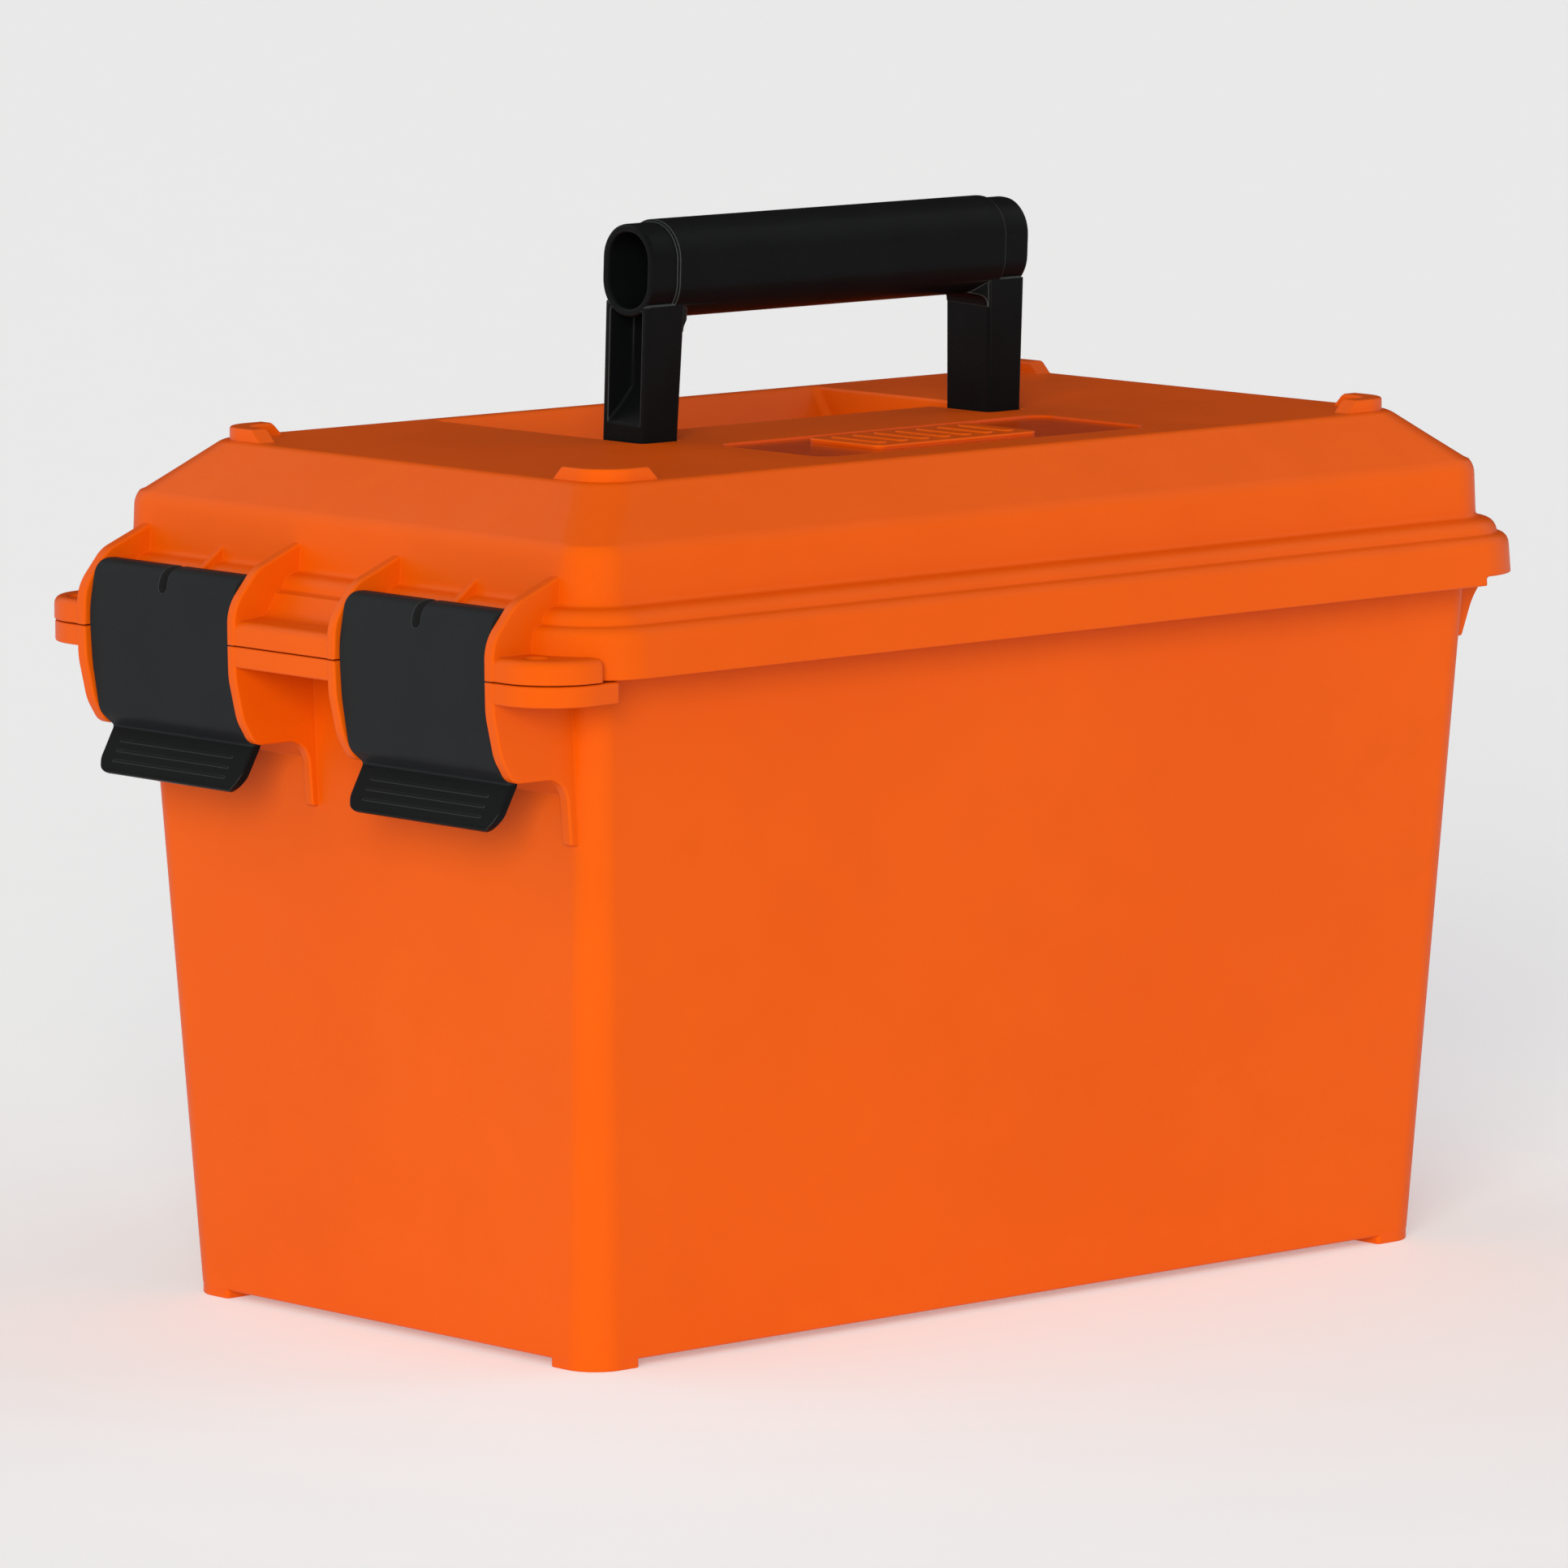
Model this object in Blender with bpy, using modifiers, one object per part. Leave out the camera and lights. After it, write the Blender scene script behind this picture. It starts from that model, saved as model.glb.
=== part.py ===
"""Hard plastic storage case: a tapered tub and a domed lid that turn on one rear pin, two snap latches
on the front end, a sealing ring, and a carry handle that folds into a pocket in the lid.

Frame: +Z up, origin on the floor below the middle of the case. The latches face -Y, the hinge is at +Y,
and the handle folds down towards -X.
"""

import math

import bmesh
import bpy
from mathutils import Matrix, Vector

MM = 0.001
GAP = 0.3 * MM
WALL = 3.0 * MM

# Tub: half width, half length and corner radius, low down and at the top of its taper
FOOT_HEIGHT = 2.0 * MM
BASE_HALF_X, BASE_HALF_Y, BASE_CORNER = 74.9 * MM, 138.2 * MM, 9.0 * MM
TOP_HALF_X, TOP_HALF_Y, TOP_CORNER = 84.4 * MM, 145.9 * MM, 7.0 * MM
TAPER_END_Z = 167.0 * MM
FLOOR_THICKNESS = 3.5 * MM
FOOT_SIZE = 15.0 * MM

# Parting between tub and lid, seen on the ribs, the tabs and the skirt
PARTING_Z = 166.35 * MM
TUB_JOINT_Z = PARTING_Z - GAP / 2
LID_JOINT_Z = PARTING_Z + GAP / 2

# Sealing rim of the tub: a flange, then a wall that stands up inside the lid's skirt
RIM_HALF_X, RIM_HALF_Y, RIM_CORNER = 90.8 * MM, 152.9 * MM, 14.5 * MM
RIM_WALL = 2.7 * MM
FLANGE_THICKNESS = 2.8 * MM
RIM_TOP_Z = 176.5 * MM

# Lid: skirt, ledge, upright wall, sloping shoulder and flat top
SKIRT_HALF_X, SKIRT_HALF_Y, SKIRT_CORNER = 96.3 * MM, 158.5 * MM, 20.0 * MM
SKIRT_TOP_Z = 178.8 * MM
SKIRT_DRAFT = 0.9 * MM
REAR_RELIEF_Y, REAR_RELIEF_Z = 138.0 * MM, 168.8 * MM
LEDGE_HALF_X, LEDGE_HALF_Y, LEDGE_CORNER = 92.6 * MM, 154.7 * MM, 16.3 * MM
LEDGE_TOP_Z = 182.7 * MM
LID_WALL_HALF_X, LID_WALL_HALF_Y, LID_CORNER = 87.3 * MM, 149.4 * MM, 11.0 * MM
SHOULDER_Z = 195.5 * MM
LID_DRAFT = 0.4 * MM
TOP_EDGE_HALF_X, TOP_EDGE_HALF_Y = 72.75 * MM, 132.7 * MM
LID_TOP_Z = 209.1 * MM
SEAL_CEILING_Z = 179.8 * MM
LIP_Z = 175.8 * MM
GROOVE_WIDTH = 4.0 * MM

# Sealing ring
SEAL_RADIUS = 1.3 * MM
SEAL_HALF_X = LID_WALL_HALF_X + 0.25 * MM + SEAL_RADIUS

# Stacking lugs on the lid's top corners
LUG_TOP_Z = 212.2 * MM
LUG_INSET, LUG_THICKNESS = 1.4 * MM, 4.8 * MM
LUG_ARM = 19.0 * MM
LUG_END_SLOPE = 3.2 * MM

# Handle and the pocket that it folds into
HANDLE_AXIS_Z = 202.2 * MM
HANDLE_LEAN = math.radians(2.2)
HANDLE_HALF_Y = 62.3 * MM
GRIP_WIDTH, GRIP_BOTTOM, GRIP_TOP = 19.6 * MM, 36.3 * MM, 60.2 * MM
GRIP_WALL, GRIP_FLAT = 2.2 * MM, 0.4 * MM
COLLAR_LENGTH, COLLAR_STEP = 8.5 * MM, 0.7 * MM
LEG_WIDTH, LEG_DEPTH_BASE, LEG_DEPTH_TOP = 15.8 * MM, 10.2 * MM, 12.0 * MM
LEG_RECESS_WALL, LEG_RECESS_DEPTH, LEG_RECESS_BOTTOM = 2.2 * MM, 7.0 * MM, 11.0 * MM
TRUNNION_RADIUS, TRUNNION_LENGTH = 3.0 * MM, 3.2 * MM
POCKET_NEAR_X, POCKET_FAR_X = -12.5 * MM, -69.0 * MM
POCKET_HALF_Y = 63.5 * MM
POCKET_FLOOR_Z = 192.0 * MM
POCKET_FAR_SLOPE = 11.0 * MM
SLOT_NEAR_X = 8.7 * MM
SLOT_INNER_Y = 50.9 * MM

# Smooth recess for a label, with a plain raised plate in it
RECESS_CENTRE, RECESS_SIZE, RECESS_DEPTH = (41.0, 2.25), (39.5, 108.5), 0.6 * MM
PLATE_CENTRE, PLATE_SIZE, PLATE_TOP_Z = (40.0, -0.5), (26.0, 53.0), 209.9 * MM

# Latch housings on the front: pairs of ribs either side of each latch
LATCH_CENTRE_X, LATCH_WIDTH = 46.7 * MM, 53.0 * MM
INNER_RIB, OUTER_RIB = (17.0 * MM, 19.9 * MM), (73.5 * MM, 76.8 * MM)
RIB_ROOT_Y = -141.5 * MM
FRONT_PLATE_HALF_X = 18.5 * MM
CENTRE_RIB_THICKNESS = 1.9 * MM
LATCH_AXIS_Y, LATCH_AXIS_Z = -162.3 * MM, 177.8 * MM
LATCH_PIN_RADIUS = 1.6 * MM
LATCH_SLIT_WIDTH, LATCH_SLIT_BOTTOM_Z = 3.0 * MM, 176.3 * MM
CATCH_LOW_Z, CATCH_HIGH_Z, CATCH_FRONT_Y = 148.4 * MM, 152.0 * MM, -162.0 * MM

# Padlock tabs and the plate between the housings
TAB_THICKNESS, LID_TAB_THICKNESS = 5.0 * MM, 5.6 * MM
TAB_FRONT_Y = -169.5 * MM
TAB_HALF_X, TAB_CORNER = 95.7 * MM, 14.5 * MM
PADLOCK_HOLE_RADIUS = 3.2 * MM
PADLOCK_HOLE_CENTRE = (84.0 * MM, -162.6 * MM)

# Rear hinge
HINGE_AXIS_Y, HINGE_AXIS_Z = 164.4 * MM, 164.5 * MM
KNUCKLE_RADIUS = 5.45 * MM
HINGE_PIN_RADIUS, HINGE_PIN_HALF = 2.5 * MM, 57.0 * MM
TUB_KNUCKLES = ((-57.0, -46.0), (-8.0, 8.0), (46.0, 57.0))
LID_KNUCKLES = ((-45.6, -8.4), (8.4, 45.6))
BORE_CLEARANCE = 0.1 * MM
FIN_CENTRE_X, FIN_THICKNESS = 78.3 * MM, 2.6 * MM

CORNER_STEPS = 5
ROUND_SIDES = 20
FOOT_STEPS = 12
GRIP_STEPS = 6

ORANGE = (0.80, 0.13, 0.012, 1.0)
BLACK = (0.012, 0.012, 0.014, 1.0)
RUBBER = (0.02, 0.02, 0.02, 1.0)
STEEL = (0.55, 0.55, 0.56, 1.0)


def new_collection(name, hidden=False):
    collection = bpy.data.collections.new(name)
    collection.hide_render = hidden
    bpy.context.scene.collection.children.link(collection)
    return collection


def make_material(name, colour, roughness, metallic=0.0):
    material = bpy.data.materials.new(name)
    material.use_nodes = True
    shader = material.node_tree.nodes["Principled BSDF"]
    shader.inputs["Base Color"].default_value = colour
    shader.inputs["Roughness"].default_value = roughness
    shader.inputs["Metallic"].default_value = metallic
    return material


def new_object(name, mesh, collection):
    obj = bpy.data.objects.new(name, mesh)
    collection.objects.link(obj)
    return obj


def move_origin(obj, point):
    """Puts the object's origin at a world point and leaves its shape where it is."""
    obj.data.transform(Matrix.Translation(-Vector(point)))
    obj.matrix_world = Matrix.Translation(Vector(point))


def finish_piece(obj, material):
    obj.data.materials.clear()
    obj.data.materials.append(material)
    obj.data.shade_smooth()
    obj.data.set_sharp_from_angle(angle=math.radians(35))


def combine(target, tool, operation):
    """Adds a Boolean to the target, and makes the tool a helper that isn't rendered."""
    modifier = target.modifiers.new(operation.lower() + "_" + tool.name, "BOOLEAN")
    modifier.object = tool
    modifier.operation = operation
    modifier.solver = "EXACT"
    tool.hide_render = True
    tool.display_type = "WIRE"


def join(target, *tools):
    for tool in tools:
        combine(target, tool, "UNION")


def cut(target, *tools):
    for tool in tools:
        combine(target, tool, "DIFFERENCE")


def filleted(corners, steps=CORNER_STEPS):
    """Outline through corners (a, b, radius), with each corner rounded to its radius."""
    points = []
    for index, (a, b, radius) in enumerate(corners):
        here = Vector((a, b))
        before = Vector(corners[index - 1][:2]) - here
        after = Vector(corners[(index + 1) % len(corners)][:2]) - here
        if radius == 0:
            points.append(here)
            continue
        before.normalize()
        after.normalize()
        half_angle = before.angle(after) / 2
        centre = here + (before + after).normalized() * (radius / math.sin(half_angle))
        first = here + before * (radius / math.tan(half_angle)) - centre
        turn = (math.pi - 2 * half_angle) / steps
        if before.x * after.y - before.y * after.x > 0:
            turn = -turn
        for step in range(steps + 1):
            points.append(centre + Matrix.Rotation(turn * step, 2) @ first)
    return points


def prism(name, outline, axis, low, high, collection):
    """Flat outline swept along an axis: (y, z) for axis X, (z, x) for Y and (x, y) for Z."""
    curve = bpy.data.curves.new(name, "CURVE")
    curve.dimensions = "2D"
    curve.fill_mode = "BOTH"
    curve.extrude = (high - low) / 2
    spline = curve.splines.new("POLY")
    spline.points.add(len(outline) - 1)
    for point, place in zip(spline.points, outline):
        point.co = (place[0], place[1], 0, 1)
    spline.use_cyclic_u = True
    drawn = new_object(name + "_outline", curve, collection)
    shift = "XYZ".index(axis) + 1
    turned = Matrix.Identity(3)
    rows = [turned[(row - shift) % 3] for row in range(3)]
    middle = Vector((0, 0, 0))
    middle["XYZ".index(axis)] = (low + high) / 2
    placed = Matrix.Translation(middle) @ Matrix(rows).to_4x4()
    graph = bpy.context.evaluated_depsgraph_get()
    mesh = bpy.data.meshes.new_from_object(drawn.evaluated_get(graph))
    bpy.data.objects.remove(drawn)
    mesh.transform(placed)
    weld(mesh)
    return new_object(name, mesh, collection)


def weld(mesh):
    shape = bmesh.new()
    shape.from_mesh(mesh)
    bmesh.ops.remove_doubles(shape, verts=shape.verts, dist=0.00001)
    bmesh.ops.recalc_face_normals(shape, faces=shape.faces)
    shape.to_mesh(mesh)
    shape.free()


def block(name, low, high, collection):
    shape = bmesh.new()
    bmesh.ops.create_cube(shape, size=1)
    size = Vector(high) - Vector(low)
    bmesh.ops.scale(shape, vec=size, verts=shape.verts)
    bmesh.ops.translate(shape, vec=(Vector(high) + Vector(low)) / 2, verts=shape.verts)
    mesh = bpy.data.meshes.new(name)
    shape.to_mesh(mesh)
    shape.free()
    return new_object(name, mesh, collection)


def rod(name, radius, low, high, axis, centre, collection, sides=ROUND_SIDES):
    """Cylinder along an axis, from low to high, whose centre line passes through the point centre."""
    shape = bmesh.new()
    bmesh.ops.create_cone(
        shape, cap_ends=True, segments=sides, radius1=radius, radius2=radius, depth=high - low
    )
    along = {"X": Matrix.Rotation(math.pi / 2, 4, "Y"), "Y": Matrix.Rotation(-math.pi / 2, 4, "X")}
    shape.transform(along.get(axis, Matrix.Identity(4)))
    middle = Vector(centre)
    middle["XYZ".index(axis)] = (low + high) / 2
    bmesh.ops.translate(shape, vec=middle, verts=shape.verts)
    mesh = bpy.data.meshes.new(name)
    shape.to_mesh(mesh)
    shape.free()
    return new_object(name, mesh, collection)


def ring_outline(half_x, half_y, radius, steps=CORNER_STEPS):
    """Rounded rectangle about the origin, in the order (x, y)."""
    corners = [(half_x, half_y), (-half_x, half_y), (-half_x, -half_y), (half_x, -half_y)]
    return filleted([(x, y, radius) for x, y in corners], steps)


def skin(name, rings, collection):
    """Closed skin through rings of points that all have the same number of points."""
    shape = bmesh.new()
    loops = [[shape.verts.new(point) for point in ring] for ring in rings]
    count = len(loops[0])
    for lower, upper in zip(loops, loops[1:]):
        for index in range(count):
            after = (index + 1) % count
            shape.faces.new((lower[index], lower[after], upper[after], upper[index]))
    shape.faces.new(reversed(loops[0]))
    shape.faces.new(loops[-1])
    bmesh.ops.recalc_face_normals(shape, faces=shape.faces)
    mesh = bpy.data.meshes.new(name)
    shape.to_mesh(mesh)
    shape.free()
    return new_object(name, mesh, collection)


def loft(name, sections, collection):
    """Skin through rounded rectangles (half x, half y, corner radius, z), lowest first."""
    rings = []
    for half_x, half_y, radius, z in sections:
        rings.append([(x, y, z) for x, y in ring_outline(half_x, half_y, radius)])
    return skin(name, rings, collection)


def inset(section, amount, z=None):
    half_x, half_y, radius, old_z = section
    return (half_x - amount, half_y - amount, radius - amount, old_z if z is None else z)


def tub_section(z):
    """Outer section of the tapered tub at height z."""
    share = (z - FOOT_HEIGHT) / (TAPER_END_Z - FOOT_HEIGHT)
    half_x = BASE_HALF_X + (TOP_HALF_X - BASE_HALF_X) * share
    half_y = BASE_HALF_Y + (TOP_HALF_Y - BASE_HALF_Y) * share
    return (half_x, half_y, BASE_CORNER + (TOP_CORNER - BASE_CORNER) * share, z)


def rib_places():
    """Left and right edge of each of the four housing ribs."""
    for near, far in (INNER_RIB, OUTER_RIB):
        yield near, far
        yield -far, -near


def make_tub(parts, cutters):
    outer = loft("base_tub", [tub_section(FOOT_HEIGHT), tub_section(TAPER_END_Z)], parts)
    rim = (RIM_HALF_X, RIM_HALF_Y, RIM_CORNER, TAPER_END_Z)
    join(outer, loft("tub_rim", [rim, inset(rim, 0, RIM_TOP_Z)], cutters))
    join(outer, *tub_feet(cutters), *tub_front(cutters), *tub_hinge(cutters))
    floor_z = FOOT_HEIGHT + FLOOR_THICKNESS
    flange_z = TAPER_END_Z + FLANGE_THICKNESS
    cavity = loft(
        "tub_cavity",
        [inset(tub_section(floor_z), WALL), inset(tub_section(flange_z + WALL), WALL)],
        cutters,
    )
    mouth_section = inset(rim, RIM_WALL, flange_z)
    mouth = loft("tub_mouth", [mouth_section, inset(mouth_section, 0, RIM_TOP_Z + WALL)], cutters)
    cut(outer, cavity, mouth)
    for side, name in ((-1, "left"), (1, "right")):
        hole_x = side * PADLOCK_HOLE_CENTRE[0]
        cut(outer, rod(
            "tub_padlock_hole_" + name, PADLOCK_HOLE_RADIUS, PARTING_Z - 2 * TAB_THICKNESS, LID_JOINT_Z,
            "Z", (hole_x, PADLOCK_HOLE_CENTRE[1], 0), cutters,
        ))
    cut(outer, hinge_bore("tub_hinge_bore", cutters))
    return outer


def tub_feet(cutters):
    """Low pads under the four corners."""
    skin = 0.1 * MM
    for side_x in (-1, 1):
        for side_y in (-1, 1):
            x, y = BASE_HALF_X - skin, BASE_HALF_Y - skin
            inner_x, inner_y = x - FOOT_SIZE, y - FOOT_SIZE
            corners = [
                (x, y, BASE_CORNER), (inner_x, y, 1 * MM), (inner_x, inner_y, 5 * MM), (x, inner_y, 1 * MM)
            ]
            outline = [(side_x * a, side_y * b) for a, b in filleted(corners)]
            yield prism("foot_%d_%d" % (side_x, side_y), outline, "Z", 0, FOOT_HEIGHT + MM, cutters)


def tub_rib_outline():
    """Side view (y, z) of a lower housing rib, down to the slim leg that runs out on the wall."""
    return filleted([
        (RIB_ROOT_Y, TUB_JOINT_Z, 0),
        (-169.7 * MM, TUB_JOINT_Z, 0),
        (-169.5 * MM, 158.5 * MM, 20 * MM),
        (-167.0 * MM, 148.0 * MM, 12 * MM),
        (-163.3 * MM, 142.1 * MM, 4 * MM),
        (-147.2 * MM, 142.0 * MM, 6 * MM),
        (-145.9 * MM, 126.2 * MM, 0.6 * MM),
        (RIB_ROOT_Y, 125.8 * MM, 0),
    ])


def tub_front(cutters):
    """Lower halves of the latch housings, the padlock tabs and the plate between the housings."""
    outline = tub_rib_outline()
    for number, (left, right) in enumerate(rib_places()):
        yield prism("tub_rib_%d" % number, outline, "X", left, right, cutters)
    low_z = TUB_JOINT_Z - TAB_THICKNESS
    for side, name in ((-1, "left"), (1, "right")):
        corners = [
            (74.2 * MM, RIB_ROOT_Y, 0), (75 * MM, TAB_FRONT_Y, 0), (TAB_HALF_X, TAB_FRONT_Y, TAB_CORNER),
            (94.2 * MM, -145.8 * MM, 1.5 * MM), (78 * MM, RIB_ROOT_Y, 0),
        ]
        tab = [(side * a, b) for a, b in filleted(corners)]
        yield prism("tub_tab_" + name, tab, "Z", low_z, TUB_JOINT_Z, cutters)
        catch = filleted([
            (-140 * MM, CATCH_HIGH_Z, 0), (CATCH_FRONT_Y + 1.2 * MM, CATCH_HIGH_Z, 0),
            (CATCH_FRONT_Y, CATCH_HIGH_Z - 1.2 * MM, 0), (CATCH_FRONT_Y, CATCH_LOW_Z, 0),
            (-158.5 * MM, CATCH_LOW_Z, 2 * MM), (-140 * MM, CATCH_LOW_Z - 16 * MM, 0),
        ])
        low, high = sorted((side * (INNER_RIB[1] - MM), side * (OUTER_RIB[0] + MM)))
        yield prism("tub_catch_" + name, catch, "X", low, high, cutters)
    plate_low = (-FRONT_PLATE_HALF_X, TAB_FRONT_Y, low_z)
    plate_high = (FRONT_PLATE_HALF_X, RIB_ROOT_Y, TUB_JOINT_Z)
    yield block("tub_front_plate", plate_low, plate_high, cutters)


def knuckle(name, span, collection):
    low, high = span
    return rod(
        name, KNUCKLE_RADIUS, low * MM, high * MM, "X", (0, HINGE_AXIS_Y, HINGE_AXIS_Z), collection
    )


def tub_hinge(cutters):
    """Knuckles with curved gussets on the rear wall, and a slim fin near each rear corner."""
    for number, span in enumerate(TUB_KNUCKLES):
        arm = filleted([
            (140 * MM, TUB_JOINT_Z, 0), (HINGE_AXIS_Y, TUB_JOINT_Z, 0),
            (HINGE_AXIS_Y, HINGE_AXIS_Z - 4.6 * MM, 0), (151.5 * MM, HINGE_AXIS_Z - 6.5 * MM, 8 * MM),
            (146.4 * MM, 141 * MM, 0), (140 * MM, 141 * MM, 0),
        ])
        low, high = (value * MM for value in span)
        yield prism("tub_arm_%d" % number, arm, "X", low + 0.1 * MM, high - 0.1 * MM, cutters)
        yield knuckle("tub_knuckle_%d" % number, span, cutters)
    fin = filleted([
        (140 * MM, TUB_JOINT_Z, 0), (154.5 * MM, TUB_JOINT_Z, 0), (150.2 * MM, 161.5 * MM, 16 * MM),
        (146.4 * MM, 152 * MM, 0), (140 * MM, 152 * MM, 0),
    ])
    for side in (-1, 1):
        middle = side * FIN_CENTRE_X
        low, high = middle - FIN_THICKNESS / 2, middle + FIN_THICKNESS / 2
        yield prism("tub_fin_%d" % side, fin, "X", low, high, cutters)


def hinge_bore(name, cutters):
    reach = HINGE_PIN_HALF + 5 * MM
    centre = (0, HINGE_AXIS_Y, HINGE_AXIS_Z)
    return rod(name, HINGE_PIN_RADIUS + BORE_CLEARANCE, -reach, reach, "X", centre, cutters)


def lid_sections():
    """Outer sections of the lid, from the skirt's lower edge to the flat top."""
    skirt = (SKIRT_HALF_X, SKIRT_HALF_Y, SKIRT_CORNER, LID_JOINT_Z)
    ledge = (LEDGE_HALF_X, LEDGE_HALF_Y, LEDGE_CORNER, SKIRT_TOP_Z)
    wall = (LID_WALL_HALF_X, LID_WALL_HALF_Y, LID_CORNER, LEDGE_TOP_Z)
    top = (TOP_EDGE_HALF_X, TOP_EDGE_HALF_Y, LID_CORNER, LID_TOP_Z)
    return [
        skirt,
        inset(skirt, SKIRT_DRAFT, SKIRT_TOP_Z - 2.3 * MM),
        inset(skirt, SKIRT_DRAFT + 0.8 * MM, SKIRT_TOP_Z - 0.7 * MM),
        inset(skirt, SKIRT_DRAFT + 2.2 * MM, SKIRT_TOP_Z - 0.1 * MM),
        ledge,
        inset(ledge, 0.7 * MM, LEDGE_TOP_Z - 2.0 * MM),
        inset(ledge, 2.2 * MM, LEDGE_TOP_Z - 0.5 * MM),
        inset(ledge, 3.8 * MM, LEDGE_TOP_Z - 0.05 * MM),
        wall,
        inset(wall, LID_DRAFT, SHOULDER_Z - 1.2 * MM),
        inset(wall, LID_DRAFT + 0.5 * MM, SHOULDER_Z + 0.3 * MM),
        top,
    ]


def make_lid(parts, cutters):
    shell = loft("lid_shell", lid_sections(), parts)
    join(shell, *lid_front(cutters), *lid_hinge(cutters), *stacking_lugs(cutters))
    cut(shell, *lid_hollows(cutters))
    join(shell, *handle_tray(cutters))
    cut(shell, *handle_pocket(cutters))
    cut(shell, *label_recess(cutters))
    join(shell, label_plate(cutters))
    for side, name in ((-1, "left"), (1, "right")):
        hole_x = side * PADLOCK_HOLE_CENTRE[0]
        cut(shell, rod(
            "lid_padlock_hole_" + name, PADLOCK_HOLE_RADIUS, TUB_JOINT_Z, PARTING_Z + 2 * TAB_THICKNESS,
            "Z", (hole_x, PADLOCK_HOLE_CENTRE[1], 0), cutters,
        ))
        cut(shell, latch_bore("lid_latch_bore_" + name, side, cutters))
    cut(shell, hinge_bore("lid_hinge_bore", cutters))
    return shell


def lid_rib_outline(top_y, top_z):
    """Side view (y, z) of an upper housing rib, which runs back up onto the lid's wall."""
    return filleted([
        (-140 * MM, LID_JOINT_Z, 0),
        (-140 * MM, top_z, 0),
        (top_y, top_z, 0),
        (-162.3 * MM, 184.2 * MM, 9 * MM),
        (-169.8 * MM, 175.5 * MM, 11 * MM),
        (-169.7 * MM, LID_JOINT_Z, 0),
    ])


def lid_front(cutters):
    """Upper halves of the latch housings, the padlock tabs and the plate between the housings."""
    outline = lid_rib_outline(-147.5 * MM, 190.1 * MM)
    for number, (left, right) in enumerate(rib_places()):
        yield prism("lid_rib_%d" % number, outline, "X", left, right, cutters)
    centre_rib = filleted([
        (-140 * MM, 170 * MM, 0), (-140 * MM, 187.6 * MM, 0), (-147.6 * MM, 187.6 * MM, 0),
        (-157.5 * MM, 180.2 * MM, 4 * MM), (-164.6 * MM, 180.0 * MM, 2.2 * MM),
        (-164.6 * MM, 174.6 * MM, 2.2 * MM), (-155 * MM, 172.5 * MM, 0),
    ])
    high_z = LID_JOINT_Z + LID_TAB_THICKNESS
    for side, name in ((-1, "left"), (1, "right")):
        middle = side * LATCH_CENTRE_X
        low, high = middle - CENTRE_RIB_THICKNESS / 2, middle + CENTRE_RIB_THICKNESS / 2
        yield prism("lid_centre_rib_" + name, centre_rib, "X", low, high, cutters)
        corners = [
            (74.2 * MM, RIB_ROOT_Y, 0), (75 * MM, TAB_FRONT_Y, 0), (TAB_HALF_X, TAB_FRONT_Y, TAB_CORNER),
            (94.9 * MM, -151.0 * MM, 2 * MM), (85 * MM, -146.0 * MM, 0),
        ]
        tab = [(side * a, b) for a, b in filleted(corners)]
        yield prism("lid_tab_" + name, tab, "Z", LID_JOINT_Z, high_z, cutters)
    plate_low = (-FRONT_PLATE_HALF_X, TAB_FRONT_Y, LID_JOINT_Z)
    plate_high = (FRONT_PLATE_HALF_X, RIB_ROOT_Y, high_z)
    yield block("lid_front_plate", plate_low, plate_high, cutters)


def lid_hinge(cutters):
    """Knuckles that hang from the rear of the skirt."""
    back = HINGE_AXIS_Y + KNUCKLE_RADIUS - 0.1 * MM
    front = HINGE_AXIS_Y - KNUCKLE_RADIUS + 0.1 * MM
    for number, span in enumerate(LID_KNUCKLES):
        arm = filleted([
            (150 * MM, REAR_RELIEF_Z + 0.4 * MM, 0), (150 * MM, 177.0 * MM, 0),
            (160 * MM, 177.0 * MM, 4 * MM), (back, 170.5 * MM, 4 * MM), (back, HINGE_AXIS_Z, 0),
            (front, HINGE_AXIS_Z, 0), (front, REAR_RELIEF_Z + 0.4 * MM, 0),
        ])
        low, high = (value * MM for value in span)
        yield prism("lid_arm_%d" % number, arm, "X", low + 0.1 * MM, high - 0.1 * MM, cutters)
        yield knuckle("lid_knuckle_%d" % number, span, cutters)


def stacking_lugs(cutters):
    """Raised corner pieces: a ring that follows the top edge, kept only near the four corners."""
    top_edge = (TOP_EDGE_HALF_X, TOP_EDGE_HALF_Y, LID_CORNER, LID_TOP_Z)
    edge = inset(top_edge, LUG_INSET, LID_TOP_Z - 1.5 * MM)
    outline = ring_outline(*edge[:3])
    hole = ring_outline(*inset(edge, LUG_THICKNESS)[:3])
    for side_x in (-1, 1):
        for side_y in (-1, 1):
            name = "lug_%d_%d" % (side_x, side_y)
            lug = prism(name, outline, "Z", edge[3], LUG_TOP_Z, cutters)
            cut(lug, prism(name + "_hole", hole, "Z", edge[3] - MM, LUG_TOP_Z + MM, cutters))
            combine(lug, lug_limit(name + "_limit", side_x, side_y, cutters), "INTERSECT")
            yield lug


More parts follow.
